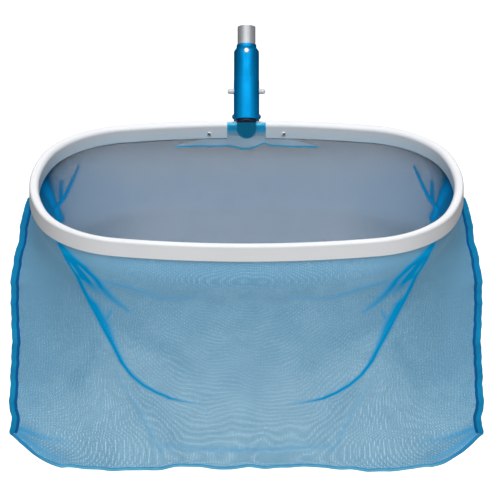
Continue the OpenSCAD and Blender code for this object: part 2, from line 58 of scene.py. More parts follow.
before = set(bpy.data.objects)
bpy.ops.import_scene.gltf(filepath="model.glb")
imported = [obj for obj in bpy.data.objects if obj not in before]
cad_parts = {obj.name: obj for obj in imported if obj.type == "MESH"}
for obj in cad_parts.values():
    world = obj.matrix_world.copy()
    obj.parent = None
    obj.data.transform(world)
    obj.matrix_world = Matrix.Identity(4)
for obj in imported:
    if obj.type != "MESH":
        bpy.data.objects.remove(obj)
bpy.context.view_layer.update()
log = logging.getLogger("skimmer")
BODY = "skimmer"
HANDLE_LEAN = math.radians(40)
FRAME_HALF_LENGTH = 0.160
FULL_TURN = 2 * math.pi


# ---------- Surfaces ----------


@dataclass
class Grid:
    """A surface given as a grid of points, with what its finish needs.

    Rows run along the piece and columns run round or across it. Closed columns join the last one to
    the first. The cloth coordinates then have one column more, so that the pattern runs on over the
    joint. Caps close a tube's two ends, and a flipped surface faces the other way.
    """

    points: Array
    cloth: Array | None = None
    normals: Array | None = None
    marks: dict[str, Array] = field(default_factory=dict)
    closed_columns: bool = False
    capped: bool = False
    flipped: bool = False

    def corners(self) -> tuple[Array, Array]:
        """Row and column numbers of each quad's four corners, the columns not yet wrapped round.

        Returns:
            Two arrays with one line of four for each quad.
        """
        rows, columns = self.points.shape[:2]
        j, i = np.meshgrid(
            np.arange(rows - 1),
            np.arange(columns if self.closed_columns else columns - 1),
            indexing="ij",
        )
        row_of = np.stack([j, j, j + 1, j + 1], axis=-1).reshape(-1, 4)
        column_of = np.stack([i, i + 1, i + 1, i], axis=-1).reshape(-1, 4)
        if self.flipped:
            return row_of[:, ::-1], column_of[:, ::-1]
        return row_of, column_of

    def build(self, name: str) -> Piece:
        """Makes the mesh object, with its cloth coordinates, marks and exact normals.

        Args:
            name: The piece's name.

        Returns:
            The new object, linked into the scene at the origin.
        """
        rows, columns = self.points.shape[:2]
        row_of, column_of = self.corners()
        quads = row_of * columns + column_of % columns
        loops = [quads.ravel()]
        sizes = [np.full(len(quads), 4)]
        if self.capped:
            ring = np.arange(columns)
            first, last = ring[::-1], (rows - 1) * columns + ring
            if self.flipped:
                first, last = first[::-1], last[::-1]
            loops += [first, last]
            sizes += [np.array([columns]), np.array([columns])]
        corner_ids = np.concatenate(loops)
        size = np.concatenate(sizes)
        mesh = bpy.data.meshes.new(name)
        mesh.vertices.add(rows * columns)
        mesh.vertices.foreach_set("co", self.points.astype(np.float32).ravel())
        mesh.loops.add(len(corner_ids))
        mesh.loops.foreach_set("vertex_index", corner_ids.astype(np.int32))
        mesh.polygons.add(len(size))
        starts = np.concatenate([[0], np.cumsum(size)[:-1]])
        mesh.polygons.foreach_set("loop_start", starts.astype(np.int32))
        mesh.update(calc_edges=True)
        mesh.shade_smooth()
        if self.cloth is not None:
            flat = np.zeros((len(corner_ids), 2), np.float32)
            flat[: quads.size] = self.cloth[row_of, column_of].reshape(-1, 2)
            mesh.uv_layers.new(name="Cloth").data.foreach_set("uv", flat.ravel())
        for mark, values in self.marks.items():
            layer = mesh.attributes.new(mark, "FLOAT", "POINT")
            layer.data.foreach_set("value", values.astype(np.float32).ravel())
        if self.normals is not None:
            self._set_normals(mesh, corner_ids, quads.size)
        piece = bpy.data.objects.new(name, mesh)
        bpy.context.scene.collection.objects.link(piece)
        return piece

    def _set_normals(self, mesh: bpy.types.Mesh, corner_ids: Array, on_quads: int) -> None:
        """Gives each corner its exact normal; the end caps keep their own flat ones.

        Args:
            mesh: The new mesh.
            corner_ids: The point at each corner.
            on_quads: How many of the corners belong to quads.
        """
        exact = self.normals.reshape(-1, 3)[corner_ids]
        ends = len(corner_ids) - on_quads
        if ends:
            flat = np.empty(len(mesh.polygons) * 3, np.float32)
            mesh.polygons.foreach_get("normal", flat)
            flat = flat.reshape(-1, 3)[-2:]
            exact[on_quads:] = np.repeat(flat, ends // 2, axis=0)
        mesh.normals_split_custom_set(exact.tolist())


def unit(vectors: Array) -> Array:
    """Vectors divided by their own lengths."""
    return vectors / np.maximum(np.linalg.norm(vectors, axis=-1, keepdims=True), 1e-12)


def smooth_step(share: Array) -> Array:
    """Runs from 0 to 1 as three squares less two cubes of the share, flat at both ends."""
    k = np.clip(share, 0.0, 1.0)
    return k * k * (3.0 - 2.0 * k)


def rounded_section(corners: Array, radii: Array, steps: int) -> tuple[Array, Array]:
    """Rounds each corner of a closed outline, drawn with its inside on the left.

    A corner turns the outward normal from one side's to the next side's in even steps. The arc's
    centre lies one radius behind the normal at an outside corner and one before it at an inside one.

    Args:
        corners: The outline's corners, one line each.
        radii: One radius for each corner.
        steps: How many steps each corner takes.

    Returns:
        The points and their outward normals.
    """
    before = unit(corners - np.roll(corners, 1, axis=0))
    after = np.roll(before, -1, axis=0)
    turn = np.arctan2(
        before[:, 0] * after[:, 1] - before[:, 1] * after[:, 0], np.sum(before * after, axis=1)
    )
    start = np.arctan2(-before[:, 0], before[:, 1])
    angle = start[:, None] + turn[:, None] * np.linspace(0, 1, steps + 1)
    normal = np.stack([np.cos(angle), np.sin(angle)], axis=-1)
    side = np.sign(turn)[:, None]
    reach = radii[:, None] * np.tan(np.abs(turn) / 2)[:, None]
    first_normal = normal[:, 0]
    centre = corners - reach * before - side * radii[:, None] * first_normal
    points = centre[:, None] + (side * radii[:, None])[:, :, None] * normal
    return points.reshape(-1, 2), normal.reshape(-1, 2)


def strip_section(path: Array, thickness: float) -> Array:
    """The closed outline of a strip that follows a path: half the thickness to each side of it.

    Args:
        path: Points of the strip's middle line.
        thickness: The strip's thickness.

    Returns:
        The outline's points, up one side and back down the other.
    """
    way = unit(np.gradient(path, axis=0))
    off = np.stack([-way[:, 1], way[:, 0]], axis=-1) * thickness / 2
    return np.concatenate([path + off, (path - off)[::-1]])


def lengths_along(points: Array) -> Array:
    """The length run through at each point of a line, from its first point."""
    return np.concatenate([[0.0], np.cumsum(np.linalg.norm(np.diff(points, axis=0), axis=1))])


def ripples(at: Array, waves: Waves) -> Array:
    """A sum of sines along a length, each wave given by its height, its length and its phase."""
    return sum(high * np.sin(at * FULL_TURN / long + phase) for high, long, phase in waves)


def carried_grid(rows: Array, columns: Array) -> Array:
    """Cloth coordinates of a section carried along a line: the two lengths at each point."""
    return np.stack(np.meshgrid(rows, columns, indexing="ij"), axis=-1)


def soft_line(at: Array, knots: Line) -> Array:
    """A line through knots, level at each: between two it is a smooth step of the share run through.

    Args:
        at: Where it is read.
        knots: Places, rising, each with its value.

    Returns:
        The values.
    """
    place, value = np.array(knots).T
    right = np.clip(np.searchsorted(place, at), 1, len(place) - 1)
    left = right - 1
    share = smooth_step((at - place[left]) / (place[right] - place[left]))
    return value[left] + (value[right] - value[left]) * share


# ---------- The frame's outline ----------


@dataclass(frozen=True)
class HoopOutline:
    """The frame's outline: eight tangent arcs with one radius at the sides, ends and corners.

    A point is found by the way its outward normal turns from +X. The normal's angle, folded into one
    quarter, says which arc it is on, and the point lies on that arc's circle.
    """

    side_radius: float = 0.784
    end_radius: float = 0.224
    corner_radius: float = 0.113
    side_drop: float = 0.624
    end_step: float = 0.016
    corner_x: float = 0.121
    corner_y: float = 0.036
    end_turn: float = math.atan2(12, 35)
    side_turn: float = math.atan2(60, 11)
    hem_inset: float = 0.0053

    def at(self, turn: Array, inset: Array | float) -> Array:
        """Points of the outline, moved in from the outer face.

        Args:
            turn: The outward normal's angle from +X, in radians.
            inset: How far in from the outer face.

        Returns:
            The points as x and y.
        """
        cos, sin = np.cos(turn), np.sin(turn)
        folded = np.arctan2(np.abs(sin), np.abs(cos))
        on_end = folded < self.end_turn
        on_corner = ~on_end & (folded < self.side_turn)
        radius = np.select([on_end, on_corner], [self.end_radius, self.corner_radius], self.side_radius)
        x = np.select([on_end, on_corner], [self.end_step, self.corner_x], 0.0) * np.sign(cos)
        y = np.select([on_end, on_corner], [0.0, self.corner_y], -self.side_drop) * np.sign(sin)
        reach = radius - inset
        return np.stack([x + reach * cos, y + reach * sin], axis=-1)

    def _quarter(self) -> tuple[Array, Array]:
        """Where the arcs of one quarter meet.

        Returns:
            The turns of the meeting points, and the hem line's length up to each.
        """
        turns = np.array([0.0, self.end_turn, self.side_turn, math.pi / 2])
        radii = np.array([self.end_radius, self.corner_radius, self.side_radius]) - self.hem_inset
        return turns, np.concatenate([[0.0], np.cumsum(radii * np.diff(turns))])

    def quarter_turn(self, share: Array) -> Array:
        """The normal's angle at a share of one quarter's length, from the frame's end to its side.

        Args:
            share: From 0 at the end to 1 at the middle of the side.

        Returns:
            The angles in radians.
        """
        turns, run = self._quarter()
        return np.interp(share * run[-1], run, turns)

    def even_turns(self, start: float, stop: float, count: int) -> Array:
        """Normal angles spaced evenly by length, from one turn to another, either way round.

        Args:
            start: The first turn, in radians.
            stop: The last turn, in radians.
            count: How many turns.

        Returns:
            The turns in order.
        """
        turns, run = self._quarter()
        folded = np.concatenate([turns, math.pi - turns[-2::-1]])
        length = np.concatenate([run, 2 * run[-1] - run[-2::-1]])
        rounds = np.arange(-2, 3)[:, None]
        table = np.unique(np.round((folded[None, :] + rounds * math.pi).ravel(), 12))
        runs = np.unique(np.round((length[None, :] + rounds * length[-1]).ravel(), 12))
        return np.interp(np.linspace(*np.interp([start, stop], table, runs), count), runs, table)


OUTLINE = HoopOutline()


def frame_top() -> Array:
    """The middle of the frame at its top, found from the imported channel's box."""
    low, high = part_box("frame_rail")
    return np.array([0.0, low[1] + FRAME_HALF_LENGTH, high[2]])


TOP = frame_top()


# ---------- Finishes ----------


class Nodes:
    """A node tree, with short ways to add and join nodes."""

    def __init__(self, tree: bpy.types.NodeTree) -> None:
        """Takes up a tree."""
        self.tree = tree

    def add(self, kind: str, **settings: object) -> bpy.types.Node:
        """Adds a node and sets its own properties.

        Args:
            kind: The node's type.
            settings: Properties by name.

        Returns:
            The node.
        """
        node = self.tree.nodes.new(kind)
        for key, value in settings.items():
            setattr(node, key, value)
        return node

    def feed(self, socket: Socket, source: object) -> None:
        """Joins a socket to another one, or sets it to a plain value.

        Args:
            socket: The input.
            source: An output socket, a number or a colour.
        """
        if isinstance(source, Socket):
            self.tree.links.new(source, socket)
        elif isinstance(source, tuple) and len(source) == 3 and len(socket.default_value) == 4:
            socket.default_value = (*source, 1.0)
        else:
            socket.default_value = source

    def math(self, operation: str, *terms: object, clamp: bool = False) -> Socket:
        """A Math node on one to three terms.

        Args:
            operation: Blender's name of the operation.
            terms: Sockets or numbers.
            clamp: Whether the result stays from 0 to 1.

        Returns:
            The result.
        """
        node = self.add("ShaderNodeMath", operation=operation, use_clamp=clamp)
        for socket, term in zip(node.inputs, terms):
            self.feed(socket, term)
        return node.outputs[0]

    def times(self, first: object, second: object, clamp: bool = False) -> Socket:
        """The product of two terms."""
        return self.math("MULTIPLY", first, second, clamp=clamp)

    def plus(self, first: object, second: object, clamp: bool = False) -> Socket:
        """The sum of two terms."""
        return self.math("ADD", first, second, clamp=clamp)

    def less(self, first: object, second: object) -> Socket:
        """The first term less the second."""
        return self.math("SUBTRACT", first, second)

    def ramp(self, value: object, low: float, high: float, out: tuple = (0.0, 1.0)) -> Socket:
        """A smooth change between two limits.

        Args:
            value: What is read.
            low: Where the change starts.
            high: Where it ends.
            out: The results at the two limits.

        Returns:
            The result.
        """
        node = self.add("ShaderNodeMapRange", interpolation_type="SMOOTHSTEP")
        for socket, term in zip(node.inputs, (value, low, high, *out)):
            self.feed(socket, term)
        return node.outputs["Result"]

    def mix(self, share: object, first: object, second: object) -> Socket:
        """A mix of two colours.

        Args:
            share: 0 for the first, 1 for the second.
            first: A colour or socket.
            second: A colour or socket.

        Returns:
            The mixed colour.
        """
        node = self.add("ShaderNodeMix", data_type="RGBA")
        self.feed(node.inputs[0], share)
        self.feed(node.inputs[6], first)
        self.feed(node.inputs[7], second)
        return node.outputs[2]

    def mapped(self, vector: object, setting: str, values: Point) -> Socket:
        """Coordinates that a Mapping node has turned or stretched.

        Args:
            vector: The coordinates.
            setting: Rotation or Scale.
            values: Its three values.

        Returns:
            The new coordinates.
        """
        node = self.add("ShaderNodeMapping")
        node.inputs[setting].default_value = values
        self.feed(node.inputs["Vector"], vector)
        return node.outputs["Vector"]

    def place(self, turn: Point = (0.0, 0.0, 0.0), scale: Point = (1.0, 1.0, 1.0)) -> Socket:
        """Object coordinates, turned and then stretched.

        Args:
            turn: Angles about the three axes.
            scale: Stretch along the turned axes.

        Returns:
            The coordinates.
        """
        source = self.add("ShaderNodeTexCoord").outputs["Object"]
        if any(turn):
            source = self.mapped(source, "Rotation", turn)
        return self.mapped(source, "Scale", scale)

    def cloth(self) -> tuple[Socket, Socket, Socket]:
        """The piece's own cloth coordinates.

        Returns:
            The vector, and its two lengths in metres.
        """
        vector = self.add("ShaderNodeUVMap", uv_map="Cloth").outputs["UV"]
        parts = self.add("ShaderNodeSeparateXYZ")
        self.feed(parts.inputs[0], vector)
        return vector, parts.outputs["X"], parts.outputs["Y"]

    def mark(self, name: str) -> Socket:
        """A number that the piece carries at each point."""
        return self.add("ShaderNodeAttribute", attribute_name=name).outputs["Fac"]

    def noise(self, vector: object, scale: float, detail: float = 2.0, rough: float = 0.5) -> Socket:
        """Soft noise from 0 to 1.

        Args:
            vector: The coordinates it is read at.
            scale: Waves in each metre.
            detail: How many finer layers it has.
            rough: How strong the finer layers are.

        Returns:
            The value.
        """
        node = self.add("ShaderNodeTexNoise")
        self.feed(node.inputs["Vector"], vector)
        self.feed(node.inputs["Scale"], scale)
        self.feed(node.inputs["Detail"], detail)
        self.feed(node.inputs["Roughness"], rough)
        return node.outputs["Fac"]

    def seen(self) -> Socket:
        """Tells what is looked at from what only gives light.

        Returns:
            1 for the camera, for reflections and for views through clear pieces, and 0 for the rest.
        """
        path = self.add("ShaderNodeLightPath")
        direct = self.math("MAXIMUM", path.outputs["Is Camera Ray"], path.outputs["Is Glossy Ray"])
        return self.math("MAXIMUM", direct, path.outputs["Is Transmission Ray"])


class Finish(Nodes):
    """One material's node tree, which starts with only its output and its main shader."""

    def __init__(self, name: str) -> None:
        """Starts the material.

        Args:
            name: The material's name.
        """
        self.material = bpy.data.materials.new(name)
        self.material.use_nodes = True
        super().__init__(self.material.node_tree)
        self.tree.nodes.clear()
        self.output = self.add("ShaderNodeOutputMaterial")
        self.shader = self.add("ShaderNodeBsdfPrincipled")
        self.feed(self.output.inputs["Surface"], self.shader.outputs["BSDF"])

    def set(self, **values: object) -> None:
        """Feeds the main shader's sockets, named with underscores for spaces."""
        for key, value in values.items():
            self.feed(self.shader.inputs[key.replace("_", " ")], value)

    def relief(self, height: object, depth: float, strength: float = 1.0) -> None:
        """Gives the main shader a bump from a height.

        Args:
            height: From 0 to 1.
            depth: What 1 stands for, in metres.
            strength: How much of it counts.
        """
        bump = self.add("ShaderNodeBump")
        self.feed(bump.inputs["Strength"], strength)
        self.feed(bump.inputs["Distance"], depth)
        self.feed(bump.inputs["Height"], height)
        self.feed(self.shader.inputs["Normal"], bump.outputs["Normal"])


@dataclass(frozen=True)
class PaintedWhite:
    """Baked white paint: fine orange peel, handling marks and painted blue bounce light and shade."""

    paint: Colour = (0.73, 0.74, 0.76)
    darker_tone: Colour = (0.67, 0.685, 0.71)
    # Painted blue bounce light and shade for the channel's inner face, darker lower down.
    bounce_shade_blue: Colour = (0.57, 0.73, 0.83)

    def make(self) -> Material:
        """Makes the material.

        Returns:
            The finished material.
        """
        n = Finish("painted_white")
        here = n.place()
        cloud = n.noise(here, 14.0, 3.0)
        rubs = n.ramp(n.noise(n.place(scale=(60.0, 60.0, 260.0)), 1.0, 4.0, 0.7), 0.62, 0.78)
        share = n.plus(n.ramp(cloud, 0.35, 0.75, (0.0, 0.3)), n.times(rubs, 0.25))
        # Painted blue bounce light and shade, where the channel's mark is set.
        painted_bounce_shade = n.times(n.mark("painted_bounce_shade"), n.ramp(cloud, 0.2, 0.8, (0.8, 1.0)))
        n.set(
            Base_Color=n.mix(painted_bounce_shade, n.mix(share, self.paint, self.darker_tone), self.bounce_shade_blue),
            Roughness=n.ramp(n.noise(here, 40.0, 3.0), 0.3, 0.7, (0.34, 0.48)),
            Specular_IOR_Level=0.35,
            Coat_Weight=0.05,
            Coat_Roughness=0.25,
        )
        n.relief(n.noise(here, 900.0, 2.0), 0.00006, 0.5)
        return n.material


@dataclass(frozen=True)
class DrawnMetal:
    """Drawn or brushed metal: fine lines along one axis, with tone and gloss that vary along them."""

    name: str
    light: Colour
    dark: Colour
    edge: Colour
    turn: Point = (HANDLE_LEAN, 0.0, 0.0)
    grain: Point = (1400.0, 1400.0, 12.0)
    gloss: Pair = (0.24, 0.36)
    metal: float = 1.0

    def make(self) -> Material:
        """Makes the material.

        Returns:
            The finished material.
        """
        n = Finish(self.name)
        lines = n.noise(n.place(self.turn, self.grain), 1.0, 2.0, 0.6)
        bands = n.noise(n.place(self.turn, (220.0, 220.0, 3.0)), 1.0, 2.0)
        cloud = n.noise(n.place(), 45.0, 3.0)
        tone = n.plus(n.times(lines, 0.5), n.times(bands, 0.5))
        n.set(
            Base_Color=n.mix(n.ramp(tone, 0.35, 0.68), self.light, self.dark),
            Metallic=self.metal,
            Roughness=n.ramp(cloud, 0.3, 0.7, self.gloss),
            Specular_Tint=self.edge,
            Anisotropic=0.3,
        )
        n.relief(lines, 0.00003, 0.35)
        return n.material


@dataclass(frozen=True)
class Moulded:
    """Moulded plastic: a fine even grain and slightly uneven gloss."""

    name: str
    colour: Colour
    shade: Colour
    gloss: Pair
    shine: float = 0.5
    grain: float = 1500.0
    depth: float = 0.00003

    def make(self) -> Material:
        """Makes the material.

        Returns:
            The finished material.
        """
        n = Finish(self.name)
        here = n.place()
        n.set(
            Base_Color=n.mix(n.ramp(n.noise(here, 90.0, 3.0), 0.35, 0.7), self.colour, self.shade),
            Roughness=n.ramp(n.noise(here, 160.0, 2.0), 0.3, 0.7, self.gloss),
            Specular_IOR_Level=self.shine,
        )
        n.relief(n.noise(here, self.grain, 2.0), self.depth, 0.5)
        return n.material


@dataclass(frozen=True)
class NetWeave:
    """Fine woven net: two sets of threads that cross, with square holes between them.

    Each cloth length is divided by the pitch and folded, so that 0 is the middle of a hole and 1 the
    middle of a thread. A point is thread where either is past the hole's half width. The close mark
    narrows the holes, the fold mark takes the colour to the folded one and the gleam away, and the shade
    mark, a painted shade, takes it towards the darker one, as does a painted shade over the first 0.31 m
    below the hem, less and less, where the frame shades the net. Where the sheer mark is set, the cloth
    lets light through.
    """

    name: str
    thread: Colour
    # Darker tone for slubs and cloud, and for the painted shade.
    darker_thread_and_shade: Colour
    folded: Colour
    pitch: float = 0.00083
    hole: float = 0.46
    slack: float = 0.0008
    clear: float = 0.0
    gleam: float = 0.2
    close_gain: float = 1.4
    fold_gain: float = 1.5
    broad_tone: float = 0.12
    patchy_tone: float = 0.1

    def make(self) -> Material:
        """Makes the material.

        Returns:
            The finished material.
        """
        n = Finish(self.name)
        vector, across, down = n.cloth()
        drift = n.times(n.less(n.noise(vector, 20.0, 1.0), 0.5), 2 * self.slack)
        sway = n.times(n.less(n.noise(vector, 26.0, 1.0), 0.5), 2 * self.slack)
        cell_across = n.math("DIVIDE", n.plus(across, drift), self.pitch)
        cell_down = n.math("DIVIDE", n.plus(down, sway), self.pitch)
        fold = n.mark("fold")
        gap = n.less(self.hole, n.times(n.mark("close"), self.hole * self.close_gain))
        warp = self._thread(n, cell_across, gap)
        weft = self._thread(n, cell_down, gap)
        n.feed(n.shader.inputs["Alpha"], n.math("MAXIMUM", warp[0], weft[0]))
        over = n.math("PINGPONG", n.plus(n.math("FLOOR", cell_across), n.math("FLOOR", cell_down)), 1.0)
        raised = n.times(warp[1], n.plus(0.6, n.times(over, 0.4)))
        height = n.math("MAXIMUM", raised, weft[1])
        broad = n.ramp(n.noise(vector, 9.0, 3.0), 0.3, 0.7, (-self.broad_tone, self.broad_tone))
        patchy = n.ramp(n.noise(vector, 34.0, 2.0), 0.3, 0.7, (-self.patchy_tone, self.patchy_tone))
        cloud = n.plus(broad, patchy)
        # Painted shade: darker for the first 0.31 m below the hem, under the frame, plus the painted shade
        # mark and a random cloud.
        darker_tone = n.plus(n.ramp(down, 0.02, 0.31, (0.85, 0.0)), n.plus(cloud, n.mark("shade")))
        tone = n.plus(darker_tone, self._slubs(n, vector), clamp=True)
        deep = n.times(fold, self.fold_gain, clamp=True)
        dry = n.less(1.0, deep)
        n.set(
            Base_Color=n.mix(deep, n.mix(tone, self.thread, self.darker_thread_and_shade), self.folded),
            Roughness=0.55,
            Sheen_Weight=n.times(dry, 0.5 * self.gleam),
            Sheen_Roughness=0.4,
            Specular_IOR_Level=n.times(dry, self.gleam),
        )
        if self.clear:
            n.set(Transmission_Weight=n.times(n.mark("sheer"), self.clear), IOR=1.0)
        n.relief(height, 0.00012, 0.25)
        return n.material

    def _slubs(self, n: Finish, vector: object) -> Socket:
        """Short thicker stretches of thread, in both directions.

        Two soft noises are stretched, one along each set of threads, and added.

        Args:
            n: The node tree.
            vector: The cloth coordinates.

        Returns:
            From 0 to 0.32.
        """
        parts = []
        for scale in ((110.0, 620.0, 1.0), (620.0, 110.0, 1.0)):
            stretched = n.mapped(vector, "Scale", scale)
            parts.append(n.ramp(n.noise(stretched, 1.0, 1.0), 0.38, 0.72, (0.0, 0.16)))
        return n.plus(*parts)

    def _thread(self, n: Finish, cell: object, gap: object) -> tuple[Socket, Socket]:
        """One set of threads.

        Args:
            n: The node tree.
            cell: Cloth length in pitches.
            gap: Half width of the holes, in half pitches.

        Returns:
            How much a point is thread, and the thread's crown.
        """
        fold = n.math("ABSOLUTE", n.less(n.math("FRACT", cell), 0.5))
        spread = n.times(fold, 2.0)
        cover = n.ramp(n.less(spread, gap), -0.1, 0.1)
        return cover, n.math("POWER", spread, 0.5)


@dataclass(frozen=True)
class TapeCloth:
    """Folded cloth of hems and bindings: a close weave, a darker sewn line and stitches along it.

    The first cloth length runs along the piece and the second across it, from its outer edge. The fold
    mark takes the colour to the sewn line's; in the mouth hem's lightened cloth that colour is a pale
    grey, painted light.
    """

    name: str
    light: Colour
    dark: Colour
    seam: Colour
    seam_at: Pair = (0.005, 0.0095)
    pitch: float = 0.0009
    stitch: float = 0.0032
    seam_soft: Pair = (0.0005, 0.0004)

    def make(self) -> Material:
        """Makes the material.

        Returns:
            The finished material.
        """
        n = Finish(self.name)
        vector, along, across = n.cloth()
        rib = self._wave(n, along, self.pitch)
        pick = self._wave(n, across, self.pitch)
        weave = n.times(rib, pick)
        cloud = n.ramp(n.noise(vector, 60.0, 3.0), 0.3, 0.72)
        (first, last), (soft_first, soft_last) = self.seam_at, self.seam_soft
        in_seam = n.times(
            n.ramp(across, first - soft_first, first + soft_first),
            n.ramp(across, last - soft_last, last + soft_last, (1.0, 0.0)),
        )
        stitches = n.times(self._wave(n, along, self.stitch), in_seam)
        body = n.mix(n.times(cloud, 0.7), self.light, self.dark)
        deep = n.math("MAXIMUM", n.times(in_seam, 0.85), n.mark("fold"))
        colour = n.mix(deep, body, self.seam)
        n.set(
            Base_Color=n.mix(n.times(weave, 0.22), colour, self.dark),
            Roughness=0.6,
            Sheen_Weight=0.0,
            Specular_IOR_Level=0.08,
        )
        height = n.plus(n.times(weave, 0.5), stitches)
        n.relief(height, 0.0002, 0.6)
        return n.material

    def _wave(self, n: Finish, length: object, pitch: float) -> Socket:
        """A wave from 0 to 1 along a cloth length: half of one plus the sine of its turns."""
        turns = n.times(length, FULL_TURN / pitch)
        return n.math("MULTIPLY_ADD", n.math("SINE", turns), 0.5, 0.5)


@dataclass(frozen=True)
class CrossHead:
    """Painted screw head whose cross recess holds a dark shadow.

    The recess is where a point lies near either of two lines that cross at the screw's middle, within
    the recess's length, measured from the frame's middle plane to the side and from the screw's height.
    """

    paint: Colour = (0.74, 0.75, 0.77)
    recess: Colour = (0.03, 0.035, 0.045)
    side: float = 0.0424
    height: float = -0.0541
    arm: float = 0.0021
    half_width: float = 0.0005
    half_root: float = 0.7071

    def make(self) -> Material:
        """Makes the material.

        Returns:
            The finished material.
        """
        n = Finish("screw_head")
        parts = n.add("ShaderNodeSeparateXYZ")
        n.feed(parts.inputs[0], n.add("ShaderNodeTexCoord").outputs["Object"])
        x = n.less(n.math("ABSOLUTE", parts.outputs["X"]), self.side)
        z = n.less(parts.outputs["Z"], self.height)
        first = n.math("ABSOLUTE", n.times(n.plus(x, z), self.half_root))
        second = n.math("ABSOLUTE", n.times(n.less(x, z), self.half_root))
        near = n.ramp(n.math("MINIMUM", first, second), self.half_width, self.half_width * 1.3, (1.0, 0.0))
        within = n.ramp(n.math("MAXIMUM", first, second), self.arm, self.arm * 1.08, (1.0, 0.0))
        n.set(
            Base_Color=n.mix(n.times(near, within), self.paint, self.recess),
            Metallic=0.25,
            Roughness=n.ramp(n.noise(n.place(), 500.0, 2.0), 0.3, 0.7, (0.32, 0.5)),
        )
        n.relief(n.noise(n.place(), 1800.0, 2.0), 0.00003, 0.5)
        return n.material


@dataclass(frozen=True)
class BraidedCord:
    """Matt white cord whose fine braid is a pattern of small soft cells, pale in their middles."""

    light: Colour = (0.78, 0.79, 0.81)
    dark: Colour = (0.55, 0.57, 0.6)

    def make(self) -> Material:
        """Makes the material.

        Returns:
            The finished material.
        """
        n = Finish("braided_cord")
        knots = n.add("ShaderNodeTexVoronoi", feature="SMOOTH_F1")
        n.feed(knots.inputs["Vector"], n.place())
        n.feed(knots.inputs["Scale"], 900.0)
        n.set(Base_Color=n.mix(knots.outputs["Distance"], self.light, self.dark), Roughness=0.75)
        n.relief(knots.outputs["Distance"], 0.0003, 0.6)
        return n.material


